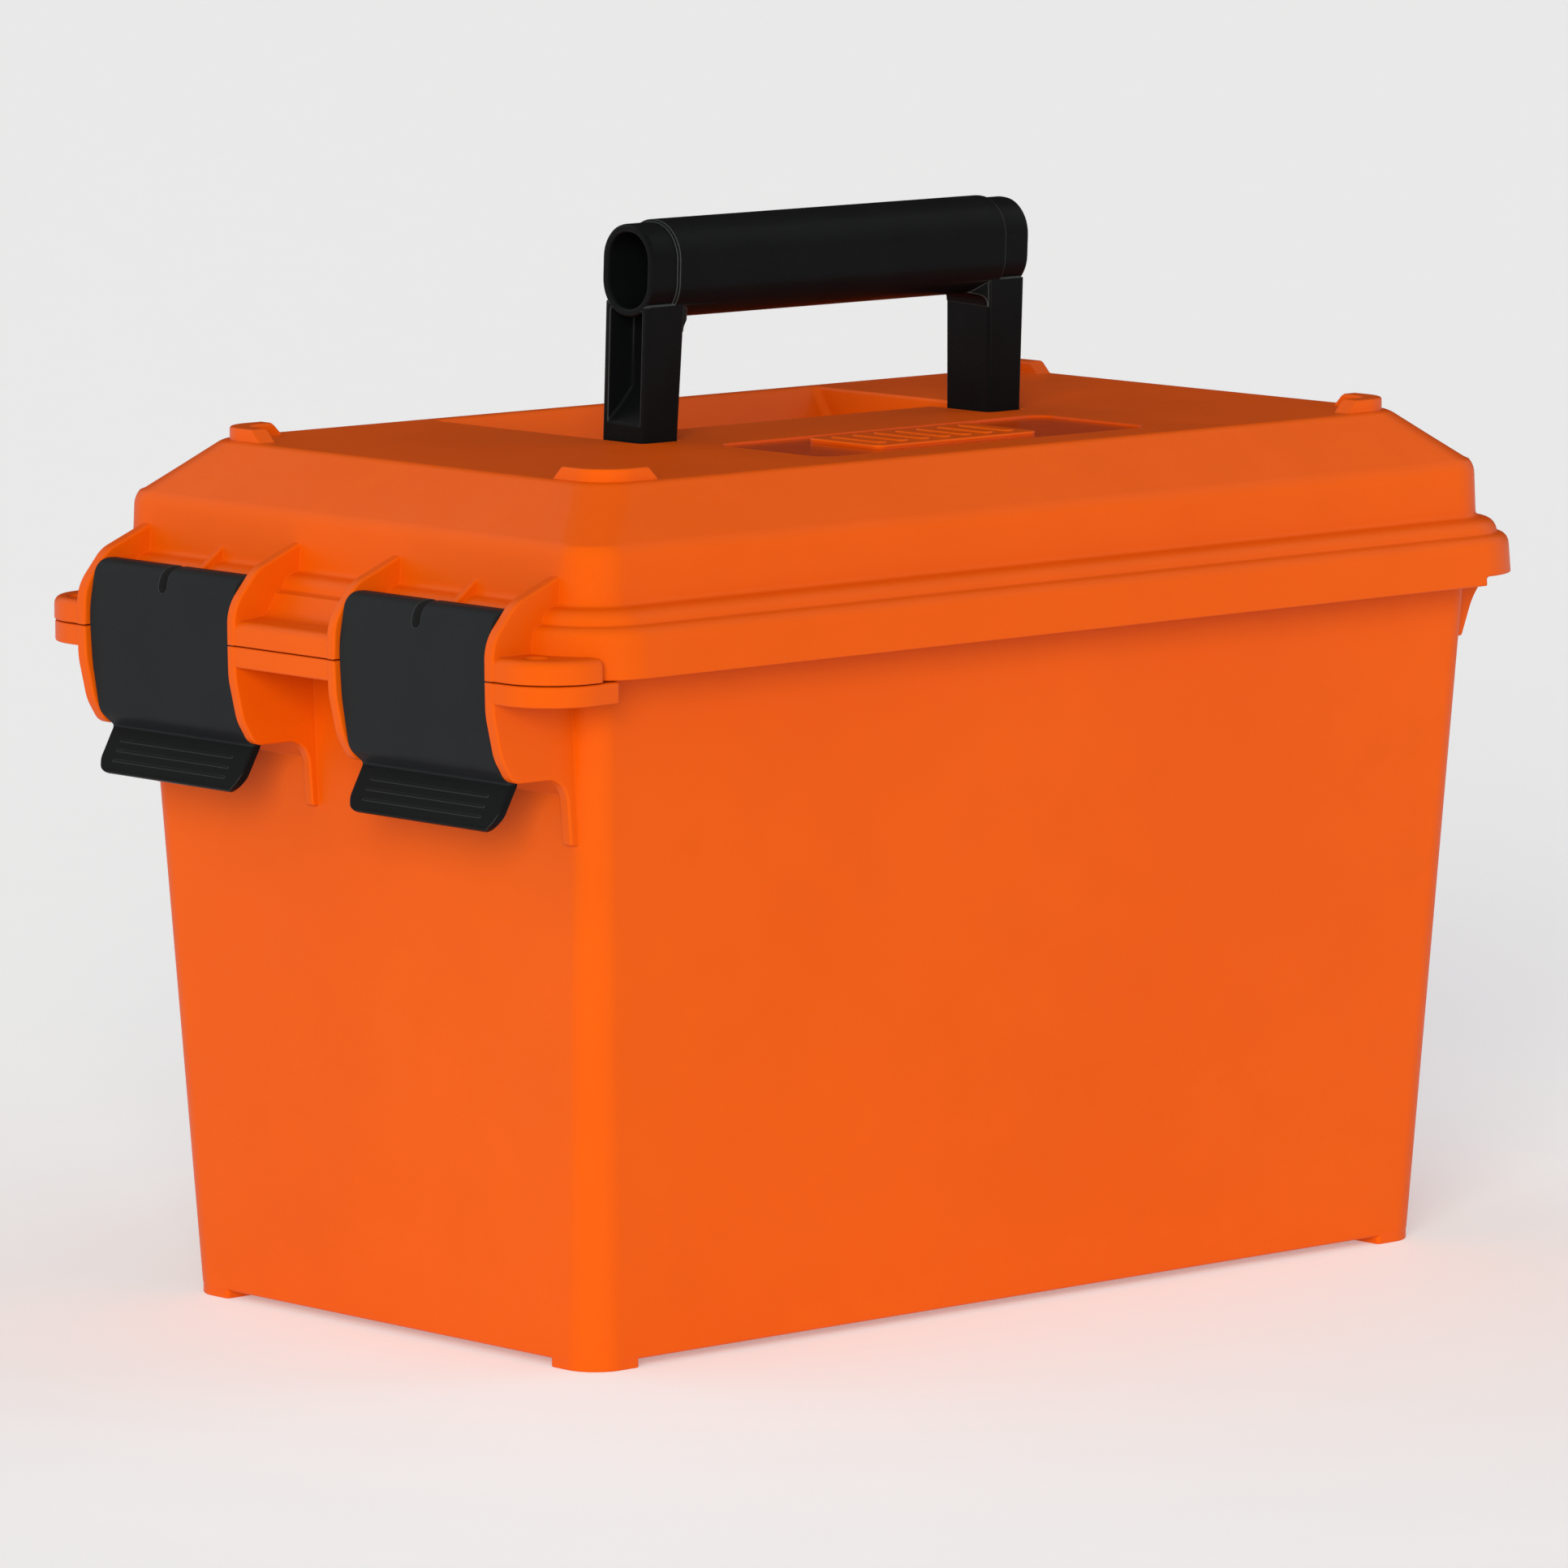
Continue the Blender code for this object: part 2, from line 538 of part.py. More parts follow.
def lug_limit(name, side_x, side_y, cutters):
    """Corner block whose top is smaller than its bottom, so that the lug's ends slope."""
    shape = bmesh.new()
    bmesh.ops.create_cube(shape, size=1)
    low_z, high_z = LID_TOP_Z, LUG_TOP_Z + 0.2 * MM
    for vert in shape.verts:
        top = vert.co.z > 0
        arm = LUG_ARM - (LUG_END_SLOPE if top else 0)
        reach_x = TOP_EDGE_HALF_X + 5 * MM if vert.co.x > 0 else TOP_EDGE_HALF_X - arm
        reach_y = TOP_EDGE_HALF_Y + 5 * MM if vert.co.y > 0 else TOP_EDGE_HALF_Y - arm
        vert.co = (side_x * reach_x, side_y * reach_y, high_z if top else low_z - 2 * MM)
    mesh = bpy.data.meshes.new(name)
    shape.to_mesh(mesh)
    shape.free()
    weld(mesh)
    return new_object(name, mesh, cutters)


def lid_hollows(cutters):
    """Space under the lid: inside the skirt, the groove for the sealing ring, and the dome."""
    skirt = (SKIRT_HALF_X, SKIRT_HALF_Y, SKIRT_CORNER, LID_JOINT_Z - 2 * MM)
    wall = (LID_WALL_HALF_X, LID_WALL_HALF_Y, LID_CORNER, LIP_Z)
    top = (TOP_EDGE_HALF_X, TOP_EDGE_HALF_Y, LID_CORNER, LID_TOP_Z - WALL)
    inner_wall = inset(wall, WALL)
    yield loft("skirt_hollow", [inset(skirt, WALL), inset(skirt, WALL + SKIRT_DRAFT, LIP_Z)], cutters)
    groove_outer = inset(wall, -GROOVE_WIDTH, LIP_Z - 0.5 * MM)
    groove = loft("seal_groove", [groove_outer, inset(groove_outer, 0, SEAL_CEILING_Z)], cutters)
    core_sections = [inset(wall, 0, LIP_Z - 2 * MM), inset(wall, 0, LEDGE_TOP_Z)]
    cut(groove, loft("seal_groove_core", core_sections, cutters))
    yield groove
    yield loft(
        "dome_hollow",
        [
            inset(inner_wall, 0, LIP_Z - MM),
            inset(inner_wall, LID_DRAFT, SHOULDER_Z - 1.2 * MM),
            inset(top, WALL),
        ],
        cutters,
    )
    yield block(
        "rear_relief",
        (-100 * MM, REAR_RELIEF_Y, LID_JOINT_Z - 2 * MM),
        (100 * MM, HINGE_AXIS_Y - KNUCKLE_RADIUS - 0.3 * MM, REAR_RELIEF_Z),
        cutters,
    )


def handle_tray(cutters):
    """Solid under the lid's top that the handle pocket and the leg slots are cut from."""
    low_z, high_z = POCKET_FLOOR_Z - WALL, LID_TOP_Z - MM
    far_low = POCKET_FAR_X + POCKET_FAR_SLOPE - WALL
    outline = [
        (high_z, POCKET_FAR_X - 1.5 * MM), (high_z, POCKET_NEAR_X + WALL),
        (low_z, POCKET_NEAR_X + WALL), (low_z, far_low),
    ]
    half = POCKET_HALF_Y + WALL
    yield prism("handle_tray", outline, "Y", -half, half, cutters)
    slot_high_x = SLOT_NEAR_X + WALL
    for side in (-1, 1):
        inner, outer = SLOT_INNER_Y - WALL, POCKET_HALF_Y + TRUNNION_LENGTH + WALL
        low_y, high_y = sorted((side * inner, side * outer))
        yield block(
            "leg_socket_%d" % side, (POCKET_NEAR_X, low_y, low_z + 0.1 * MM), (slot_high_x, high_y, high_z),
            cutters,
        )


def handle_pocket(cutters):
    """The pocket itself, the slots for the two legs, and the blind sockets for the trunnions."""
    high_z = LID_TOP_Z + 2 * MM
    rise = (high_z - LID_TOP_Z) / (LID_TOP_Z - POCKET_FLOOR_Z)
    outline = [
        (high_z, POCKET_FAR_X - POCKET_FAR_SLOPE * rise), (high_z, POCKET_NEAR_X),
        (POCKET_FLOOR_Z, POCKET_NEAR_X), (POCKET_FLOOR_Z, POCKET_FAR_X + POCKET_FAR_SLOPE),
    ]
    yield prism("handle_pocket", outline, "Y", -POCKET_HALF_Y, POCKET_HALF_Y, cutters)
    for side in (-1, 1):
        low_y, high_y = sorted((side * SLOT_INNER_Y, side * (POCKET_HALF_Y - 0.02 * MM)))
        yield block(
            "leg_slot_%d" % side,
            (POCKET_NEAR_X - 2 * MM, low_y, POCKET_FLOOR_Z + 0.02 * MM),
            (SLOT_NEAR_X, high_y, high_z),
            cutters,
        )
        socket_end = POCKET_HALF_Y + TRUNNION_LENGTH - MM
        low_y, high_y = sorted((side * (POCKET_HALF_Y - MM), side * socket_end))
        yield rod(
            "trunnion_socket_%d" % side, TRUNNION_RADIUS + BORE_CLEARANCE, low_y, high_y, "Y",
            (0, 0, HANDLE_AXIS_Z), cutters,
        )


def rectangle(centre, size, radius):
    """Rounded rectangle (x, y) with its centre and size in millimetres."""
    outline = ring_outline(size[0] / 2 * MM, size[1] / 2 * MM, radius)
    return [(x + centre[0] * MM, y + centre[1] * MM) for x, y in outline]


def label_recess(cutters):
    outline = rectangle(RECESS_CENTRE, RECESS_SIZE, 5 * MM)
    yield prism("label_recess", outline, "Z", LID_TOP_Z - RECESS_DEPTH, LID_TOP_Z + MM, cutters)


def label_plate(cutters):
    outline = rectangle(PLATE_CENTRE, PLATE_SIZE, 2.5 * MM)
    return prism("label_plate", outline, "Z", LID_TOP_Z - RECESS_DEPTH - MM, PLATE_TOP_Z, cutters)


def make_seal(parts):
    """Sealing ring: a round cord that follows the lid's wall, in the groove of the ledge."""
    offset = SEAL_HALF_X - LID_WALL_HALF_X
    outline = ring_outline(SEAL_HALF_X, LID_WALL_HALF_Y + offset, LID_CORNER + offset)
    curve = bpy.data.curves.new("lid_gasket", "CURVE")
    curve.dimensions = "3D"
    curve.bevel_depth = SEAL_RADIUS
    curve.bevel_resolution = 2
    spline = curve.splines.new("POLY")
    spline.points.add(len(outline) - 1)
    height = RIM_TOP_Z + GAP + SEAL_RADIUS
    for point, (x, y) in zip(spline.points, outline):
        point.co = (x, y, height, 1)
    spline.use_cyclic_u = True
    return new_object("lid_gasket", curve, parts)


def grip_section(shrink, y):
    """Oval section of the grip at y, smaller all round by shrink."""
    half_x = GRIP_WIDTH / 2 - shrink
    half_z = (GRIP_TOP - GRIP_BOTTOM) / 2 - shrink
    middle_z = (GRIP_TOP + GRIP_BOTTOM) / 2
    outline = ring_outline(half_x, half_z, half_x - GRIP_FLAT, GRIP_STEPS)
    return [(x, y, middle_z + z) for x, z in outline]


def make_handle(parts, cutters):
    """Handle drawn upright about its own axis, then leaned back against its stop."""
    pivot = bpy.data.objects.new("handle_pivot", None)
    parts.objects.link(pivot)
    pivot.matrix_world = Matrix.Translation((0, 0, HANDLE_AXIS_Z)) @ Matrix.Rotation(HANDLE_LEAN, 4, "Y")
    bar_half = HANDLE_HALF_Y - COLLAR_LENGTH
    ends = ((HANDLE_HALF_Y, COLLAR_STEP), (bar_half + COLLAR_STEP, COLLAR_STEP), (bar_half, 0))
    rings = [grip_section(shrink, -y) for y, shrink in ends]
    rings += [grip_section(shrink, y) for y, shrink in reversed(ends)]
    handle = skin("handle", rings, parts)
    bore_end = HANDLE_HALF_Y + MM
    shrink = COLLAR_STEP + GRIP_WALL
    bore = skin("handle_bore", [grip_section(shrink, -bore_end), grip_section(shrink, bore_end)], cutters)
    tools = []
    recesses = []
    half_leg = LEG_WIDTH / 2
    bottom = -half_leg + 0.2 * MM
    outer = HANDLE_HALF_Y - 0.05 * MM
    for side in (-1, 1):
        tools.append(handle_leg("handle_leg_%d" % side, side, outer, cutters))
        trunnion_end = POCKET_HALF_Y + TRUNNION_LENGTH - 1.4 * MM
        low_y, high_y = sorted((side * (outer - 2 * MM), side * trunnion_end))
        tools.append(rod(
            "handle_trunnion_%d" % side, TRUNNION_RADIUS, low_y, high_y, "Y", (0, 0, 0), cutters
        ))
        depth = outer - LEG_RECESS_DEPTH
        recess = [
            (side * (outer + MM), LEG_RECESS_BOTTOM - MM), (side * (outer + MM), GRIP_BOTTOM - 0.4 * MM),
            (side * depth, GRIP_BOTTOM - 0.4 * MM), (side * depth, LEG_RECESS_BOTTOM + 8.0 * MM),
        ]
        reach = half_leg - LEG_RECESS_WALL
        recesses.append(prism("handle_recess_%d" % side, recess, "X", -reach, reach, cutters))
    join(handle, *tools)
    cut(handle, bore, *recesses)
    for piece in [handle, bore, *tools, *recesses]:
        piece.parent = pivot
    return handle


def handle_leg(name, side, outer, cutters):
    """Leg with a round lower end, a little deeper at the top than at its foot."""
    radius = LEG_WIDTH / 2
    top_z = GRIP_BOTTOM + 3 * MM
    outline = [(top_z, -radius)]
    for step in range(FOOT_STEPS + 1):
        angle = math.pi * step / FOOT_STEPS
        outline.append((-radius * math.sin(angle), -radius * math.cos(angle)))
    outline.append((top_z, radius))
    leg = prism(name, outline, "Y", 0, 1, cutters)
    for vert in leg.data.vertices:
        share = (vert.co.z + radius) / (top_z + radius)
        depth = LEG_DEPTH_BASE + (LEG_DEPTH_TOP - LEG_DEPTH_BASE) * share
        vert.co.y = side * (outer - (depth if vert.co.y < 0.5 else 0))
    weld(leg.data)
    return leg


def latch_outline():
    """Side view (y, z) of a latch: bowed face, hook inside, and a lip that flares out at the bottom."""
    return filleted([
        (-158.4 * MM, 182.4 * MM, 3.0 * MM),
        (-166.6 * MM, 182.4 * MM, 4.4 * MM),
        (-168.8 * MM, 170.0 * MM, 30 * MM),
        (-168.0 * MM, 157.5 * MM, 40 * MM),
        (-165.9 * MM, 145.3 * MM, 5 * MM),
        (-161.5 * MM, 141.6 * MM, 0.9 * MM),
        (-167.2 * MM, 131.2 * MM, 1 * MM),
        (-165.1 * MM, 130.2 * MM, 1 * MM),
        (-158.8 * MM, 141.4 * MM, 2.5 * MM),
        (-160.4 * MM, 148.1 * MM, 0.4 * MM),
        (-163.1 * MM, 148.1 * MM, 0.4 * MM),
        (-165.1 * MM, 158.0 * MM, 20 * MM),
        (-165.9 * MM, 170.0 * MM, 6 * MM),
        (-164.2 * MM, 174.0 * MM, 2 * MM),
        (-158.4 * MM, 174.0 * MM, 3 * MM),
    ], 4)


def latch_bore(name, side, cutters):
    reach = LATCH_WIDTH / 2 + GAP + 2.2 * MM
    middle = side * LATCH_CENTRE_X
    centre = (0, LATCH_AXIS_Y, LATCH_AXIS_Z)
    return rod(name, LATCH_PIN_RADIUS + BORE_CLEARANCE, middle - reach, middle + reach, "X", centre, cutters)


def make_latch(name, side, parts, cutters):
    middle = side * LATCH_CENTRE_X
    low, high = middle - LATCH_WIDTH / 2, middle + LATCH_WIDTH / 2
    latch = prism(name, latch_outline(), "X", low, high, parts)
    slit_half = LATCH_SLIT_WIDTH / 2
    slit = block(
        name + "_slit", (middle - slit_half, -175 * MM, LATCH_SLIT_BOTTOM_Z),
        (middle + slit_half, -150 * MM, 190 * MM), cutters,
    )
    rear_slit = block(
        name + "_rear_slit", (middle - slit_half, -165.5 * MM, 172 * MM),
        (middle + slit_half, -150 * MM, 178 * MM), cutters,
    )
    cut(latch, slit, rear_slit, latch_bore(name + "_bore", side, cutters))
    cut(latch, *lip_corners(name, low, high, cutters))
    move_origin(latch, (middle, LATCH_AXIS_Y, LATCH_AXIS_Z))
    return latch


def lip_corners(name, low, high, cutters):
    """Rounds the two lower corners of the lip, seen from the front."""
    radius = 6.5 * MM
    bottom = 129.8 * MM
    for end, inward, tag in ((low, 1, "low"), (high, -1, "high")):
        centre = (end + inward * radius, bottom + radius)
        arc = [
            (
                centre[1] - radius * math.sin(math.pi / 2 * step / 5),
                centre[0] - inward * radius * math.cos(math.pi / 2 * step / 5),
            )
            for step in range(6)
        ]
        outline = arc + [
            (bottom - 2 * MM, centre[0]), (bottom - 2 * MM, end - inward * MM), (centre[1], end - inward * MM)
        ]
        yield prism(name + "_corner_" + tag, outline, "Y", -175 * MM, -150 * MM, cutters)


def make_pin(name, radius, low, high, centre, parts):
    pin = rod(name, radius, low, high, "X", centre, parts)
    move_origin(pin, ((low + high) / 2, centre[1], centre[2]))
    bevel = pin.modifiers.new("chamfer", "BEVEL")
    bevel.width = radius * 0.25
    bevel.segments = 1
    bevel.limit_method = "ANGLE"
    bevel.angle_limit = math.radians(60)
    return pin


def main():
    for obj in list(bpy.data.objects):
        bpy.data.objects.remove(obj)
    parts = new_collection("hard_equipment_case")
    cutters = new_collection("cutters", hidden=True)

    finish_piece(make_tub(parts, cutters), make_material("tub_plastic", ORANGE, 0.42))
    finish_piece(make_lid(parts, cutters), make_material("lid_plastic", ORANGE, 0.42))
    finish_piece(make_handle(parts, cutters), make_material("handle_plastic", BLACK, 0.38))
    make_seal(parts).data.materials.append(make_material("gasket_rubber", RUBBER, 0.7))

    pin_half = LATCH_WIDTH / 2 + GAP + 1.8 * MM
    latch_centre = (0, LATCH_AXIS_Y, LATCH_AXIS_Z)
    for side, name in ((-1, "left"), (1, "right")):
        latch = make_latch("latch_" + name, side, parts, cutters)
        finish_piece(latch, make_material("latch_plastic_" + name, BLACK, 0.5))
        middle = side * LATCH_CENTRE_X
        pin = make_pin(
            "latch_pin_" + name, LATCH_PIN_RADIUS, middle - pin_half, middle + pin_half, latch_centre, parts
        )
        finish_piece(pin, make_material("latch_pin_steel_" + name, STEEL, 0.3, 1.0))
    hinge_centre = (0, HINGE_AXIS_Y, HINGE_AXIS_Z)
    hinge_pin = make_pin(
        "hinge_pin", HINGE_PIN_RADIUS, -HINGE_PIN_HALF, HINGE_PIN_HALF, hinge_centre, parts
    )
    finish_piece(hinge_pin, make_material("hinge_pin_steel", STEEL, 0.3, 1.0))


main()
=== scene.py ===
"""Hard plastic storage case with a hinged lid, two snap latches and a folding handle, around its CAD frame.

Lengths in this script are millimetres, and every mesh is scaled to metres as it is made. The latches face
-Y, the hinge is at +Y, the long side that the camera sees is +X, and the floor is z = 0.
"""

import math

import bmesh
import bpy
from mathutils import Matrix, Vector


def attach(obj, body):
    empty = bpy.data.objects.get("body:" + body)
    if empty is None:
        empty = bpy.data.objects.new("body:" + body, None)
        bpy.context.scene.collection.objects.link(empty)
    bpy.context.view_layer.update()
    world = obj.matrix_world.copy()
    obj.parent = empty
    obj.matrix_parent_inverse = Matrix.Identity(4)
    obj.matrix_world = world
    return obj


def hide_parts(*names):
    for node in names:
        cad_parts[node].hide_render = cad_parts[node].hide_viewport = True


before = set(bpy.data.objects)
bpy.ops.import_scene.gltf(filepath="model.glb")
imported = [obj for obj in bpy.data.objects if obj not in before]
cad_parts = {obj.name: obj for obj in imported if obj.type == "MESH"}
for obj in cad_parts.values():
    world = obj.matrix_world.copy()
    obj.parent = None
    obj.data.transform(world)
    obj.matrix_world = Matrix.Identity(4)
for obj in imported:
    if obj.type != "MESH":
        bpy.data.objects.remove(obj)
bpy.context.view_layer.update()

MM = 0.001
ARC_STEPS = 12
EDGE_STEPS = 3
SMOOTH_ANGLE = math.radians(38)
MERGE_DISTANCE, SLIVER_SIZE = 0.004 * MM, 0.002 * MM

# ---------------------------------------------------------------- sizes taken over from the CAD
GAP = 0.3
WALL = 3.0
PARTING_Z = 166.35
TUB_JOINT_Z = PARTING_Z - GAP / 2
LID_JOINT_Z = PARTING_Z + GAP / 2

# tub
FOOT_HEIGHT, FOOT_REACH = 2.0, 15
BASE_HALF, BASE_CORNER = (74.9, 138.2), 9.0
TOP_HALF, TOP_CORNER = (84.4, 145.9), 7.0
TAPER_END_Z = 167.0
FLOOR_TOP_Z = 5.5
FLANGE_TOP_Z, RIM_TOP_Z = 169.8, 176.5
RIM_HALF, RIM_CORNER, RIM_WALL = (90.8, 152.9), 14.5, 2.7
ROOT_Y = 143.4
FIN_X, FIN_HALF_WIDTH = 78.3, 1.3

# lid
LID_WALL_HALF, LID_CORNER = (87.3, 149.4), 11.0
SKIRT_HALF, SKIRT_CORNER = (96.3, 158.4), 20.0
SHOULDER_Z, LID_TOP_Z = 195.5, 209.1
TOP_EDGE_HALF = (72.75, 132.7)
REAR_RELIEF_Y, REAR_RELIEF_Z = 138.0, 168.8
SEAL_CEILING_Z, LIP_Z, GROOVE_WIDTH = 179.8, 175.8, 4.0
SEAL_RADIUS = 1.3
LUG_TOP_Z, LUG_INSET, LUG_WALL, LUG_REACH = 212.2, 1.4, 4.8, 19.0
POCKET_HALF_Y, POCKET_FLOOR_Z = 63.5, 192.0
RECESS_LOW, RECESS_HIGH, RECESS_DEPTH = (21.25, -52.0), (60.75, 56.5), 0.6
LABEL_SPAN, LABEL_HEIGHT = (27, 53, -27, 26), 0.45
BAR_COUNT, BAR_PITCH, BAR_HEIGHT = 7, 7, 0.8

# latch housings, half on the tub and half on the lid
RIB_SPANS = ((17.0, 19.9), (73.5, 76.8))
CENTRE_RIB_HALF_WIDTH = 0.95
LID_ROOT_Y = 146.5
PLATE_HALF_X = 18.5
TAB_FRONT_Y, TAB_HALF_X, TAB_CORNER = -169.5, 95.7, 14.5
TUB_TAB_HEIGHT, LID_TAB_HEIGHT = 5, 5.6
PADLOCK_HOLE, PADLOCK_RADIUS = (84.0, -162.6), 3.2

# hinge and pins
HINGE_AXIS = (164.4, 164.5)
KNUCKLE_RADIUS = 5.45
TUB_KNUCKLES = ((-57, -46), (-8, 8), (46, 57))
LID_KNUCKLES = ((-45.6, -8.4), (8.4, 45.6))
HINGE_PIN_RADIUS, HINGE_BORE_RADIUS, HINGE_PIN_HALF = 2.5, 2.6, 57.0
LATCH_PIN_RADIUS, LATCH_BORE_RADIUS, LATCH_PIN_HALF = 1.6, 1.7, 28.6

# handle, about its own axis
HANDLE_AXIS_Z, HANDLE_LEAN, HANDLE_HALF_Y = 202.2, math.radians(2.2), 62.3
GRIP_HALF_X, GRIP_BOTTOM, GRIP_TOP = 9.8, 36.3, 60.2
COLLAR_LENGTH, COLLAR_STEP, GRIP_WALL = 8.5, 0.7, 2.2
LEG_HALF_X, LEG_OUTER_Y = 7.9, HANDLE_HALF_Y - 0.05
LEG_TOP, LEG_SLOT_INNER_Y = GRIP_BOTTOM + 4.0, 50.9
TRUNNION_RADIUS, TRUNNION_END_Y = 3.0, 65.3
SOCKET_RADIUS, SOCKET_START_Y, SOCKET_END_Y = 3.1, 62.5, 65.7

# latches
LATCH_CENTRE_X, LATCH_WIDTH = 46.7, 53.0
LATCH_AXIS = (-162.3, 177.8)
SLIT_WIDTH, SLIT_BOTTOM_Z = 3.0, 176.3
LIP_CREASE, LIP_TIP = (-161.5, 141.6), (-167.2, 131.2)
LIP_BOTTOM_Z, LIP_CORNER = 129.8, 6.5
RIDGE_PLACES = (0.30, 0.52, 0.74)

# ---------------------------------------------------------------- looks
ORANGE_TONES = ((0.70, 0.082, 0.0006, 1), (0.74, 0.092, 0.0010, 1), (0.64, 0.076, 0.0008, 1))
LATCH_TONES = ((0.015, 0.015, 0.018, 1), (0.018, 0.018, 0.021, 1), (0.022, 0.022, 0.025, 1))
HANDLE_TONES = ((0.0025, 0.0026, 0.0034, 1), (0.004, 0.0042, 0.005, 1), (0.007, 0.007, 0.008, 1))
STEEL_TONES = ((0.56, 0.56, 0.57, 1), (0.42, 0.41, 0.40, 1))
RUBBER_TONES = ((0.016, 0.016, 0.017, 1), (0.045, 0.044, 0.042, 1))
FLOOR_TONES = ((0.80, 0.785, 0.84, 1), (0.79, 0.775, 0.83, 1))
# Label recess on the lid: its colour is tinted darker there as painted shade, and its finish is made
# smoother.
RECESS_SHADE_AND_GLOSS_ZONE = ((21, -55, LID_TOP_Z - RECESS_DEPTH - 0.1), (61, 58, LID_TOP_Z - 0.05))
LIP_ZONE = ((-80, -175, 126), (80, -155, 141.4))
# Width of the painted highlight on the rounded edges of the black plastics.
EDGE_HIGHLIGHT_WIDTH = 0.14

# ---------------------------------------------------------------- studio
CAMERA_PLACE = (1.97950, -1.80319, 0.47976)
CAMERA_AZIMUTH, CAMERA_ELEVATION = math.radians(47.822), math.radians(7.6537)
CAMERA_SENSOR, CAMERA_LENS, CAMERA_REACH = 36, 251.94, 50
FLOOR_HALF_SIZE, FLOOR_GLOW = 14000, 0.27
SKY_LEVELS = (0.12, 0.43)
REAR_DIRECTION, REAR_DIMMING = (-0.74, 0.67, 0.0), 0.15


# ---------------------------------------------------------------- mesh tools
def mesh_object(name, shape):
    """Object from a bmesh drawn in millimetres."""
    bmesh.ops.recalc_face_normals(shape, faces=shape.faces)
    bmesh.ops.scale(shape, vec=(MM, MM, MM), verts=shape.verts)
    mesh = bpy.data.meshes.new(name)
    shape.to_mesh(mesh)
    shape.free()
    obj = bpy.data.objects.new(name, mesh)
    bpy.context.scene.collection.objects.link(obj)
    return obj


def filleted(corners, steps=ARC_STEPS):
    """Outline through corners (a, b, radius), with each corner rounded to its radius."""
    points = []
    for index, (a, b, radius) in enumerate(corners):
        here = Vector((a, b))
        before = Vector(corners[index - 1][:2]) - here
        after = Vector(corners[(index + 1) % len(corners)][:2]) - here
        if radius == 0:
            points.append(here)
            continue
        before.normalize()
        after.normalize()
        half_angle = before.angle(after) / 2
        centre = here + (before + after).normalized() * (radius / math.sin(half_angle))
        first = here + before * (radius / math.tan(half_angle)) - centre
        turn = (math.pi - 2 * half_angle) / steps
        if before.x * after.y - before.y * after.x > 0:
            turn = -turn
        for step in range(steps + 1):
            points.append(centre + Matrix.Rotation(turn * step, 2) @ first)
    return points


def rounded_rectangle(x0, x1, y0, y1, radius):
    """Outline of a rectangle from low and high sides, with its four corners rounded."""
    return filleted([(x1, y1, radius), (x0, y1, radius), (x0, y0, radius), (x1, y0, radius)])


def wall_between(shape, lower, upper):
    """Faces between two closed loops of the same number of points."""
    count = len(lower)
    for index in range(count):
        after = (index + 1) % count
        shape.faces.new((lower[index], lower[after], upper[after], upper[index]))


def round_edges(shape, faces, offset, steps):
    """Rounds the edges of some faces."""
    edges = [edge for face in faces for edge in face.edges]
    bmesh.ops.bevel(
        shape, geom=edges, offset=offset, segments=steps, profile=0.5, affect="EDGES", clamp_overlap=False
    )


def skin(name, rings):
    """Closed skin through rings of points that all have the same number of points."""
    shape = bmesh.new()
    loops = [[shape.verts.new(point) for point in ring] for ring in rings]
    for lower, upper in zip(loops, loops[1:]):
        wall_between(shape, lower, upper)
    shape.faces.new(reversed(loops[0]))
    shape.faces.new(loops[-1])
    return mesh_object(name, shape)


def ring_at(half, radius, z, grow=0.0):
    """Rounded rectangle about the z axis, grown by an offset."""
    x, y = half[0] + grow, half[1] + grow
    return at_height(rounded_rectangle(-x, x, -y, y, radius + grow), z)


def at_height(outline, z):
    return [(p[0], p[1], z) for p in outline]


AXIS_MAPS = {
    "X": lambda a, b, along: (along, a, b),
    "Y": lambda a, b, along: (a, along, b),
    "Z": lambda a, b, along: (a, b, along),
}


def raw_prism(outline, axis, low, high):
    """Outline swept along an axis, (y, z) for X, (x, z) for Y, (x, y) for Z, with its two end faces."""
    place = AXIS_MAPS[axis]
    shape = bmesh.new()
    bottom = [shape.verts.new(place(p[0], p[1], low)) for p in outline]
    top = [shape.verts.new(place(p[0], p[1], high)) for p in outline]
    caps = [shape.faces.new(bottom), shape.faces.new(top)]
    wall_between(shape, bottom, top)
    bmesh.ops.recalc_face_normals(shape, faces=shape.faces)
    return shape, caps


def prism(name, outline, axis, low, high, edge=0.0):
    """Outline swept along an axis, with its end edges rounded."""
    shape, caps = raw_prism(outline, axis, low, high)
    if edge:
        round_edges(shape, caps, edge, EDGE_STEPS)
    return mesh_object(name, shape)


def block(name, low, high):
    outline = [(low[0], low[1]), (high[0], low[1]), (high[0], high[1]), (low[0], high[1])]
    return prism(name, outline, "Z", low[2], high[2])


def rod(name, radius, low, high, axis, centre, sides=48, edge=0.0):
    """Cylinder along an axis through a point, with its end edges rounded."""
    a, b = {"X": (1, 2), "Y": (0, 2), "Z": (0, 1)}[axis]
    outline = []
    for step in range(sides):
        angle = 2 * math.pi * step / sides
        outline.append((centre[a] + radius * math.cos(angle), centre[b] + radius * math.sin(angle)))
    return prism(name, outline, axis, low, high, edge)


def apply_modifiers(obj):
    """Gives an object the mesh that its modifiers make of it."""
    bpy.context.view_layer.update()
    graph = bpy.context.evaluated_depsgraph_get()
    mesh = bpy.data.meshes.new_from_object(obj.evaluated_get(graph))
    obj.modifiers.clear()
    obj.data = mesh


def combine(target, *steps):
    """Joins or cuts tools into the target, each given as (operation, tool), and removes the tools."""
    for operation, tool in steps:
        modifier = target.modifiers.new(operation, "BOOLEAN")
        modifier.object = tool
        modifier.operation = operation
        modifier.solver = "EXACT"
    apply_modifiers(target)
    for tool in {tool for _, tool in steps}:
        bpy.data.objects.remove(tool)
    return target


def join(*tools):
    return [("UNION", tool) for tool in tools]


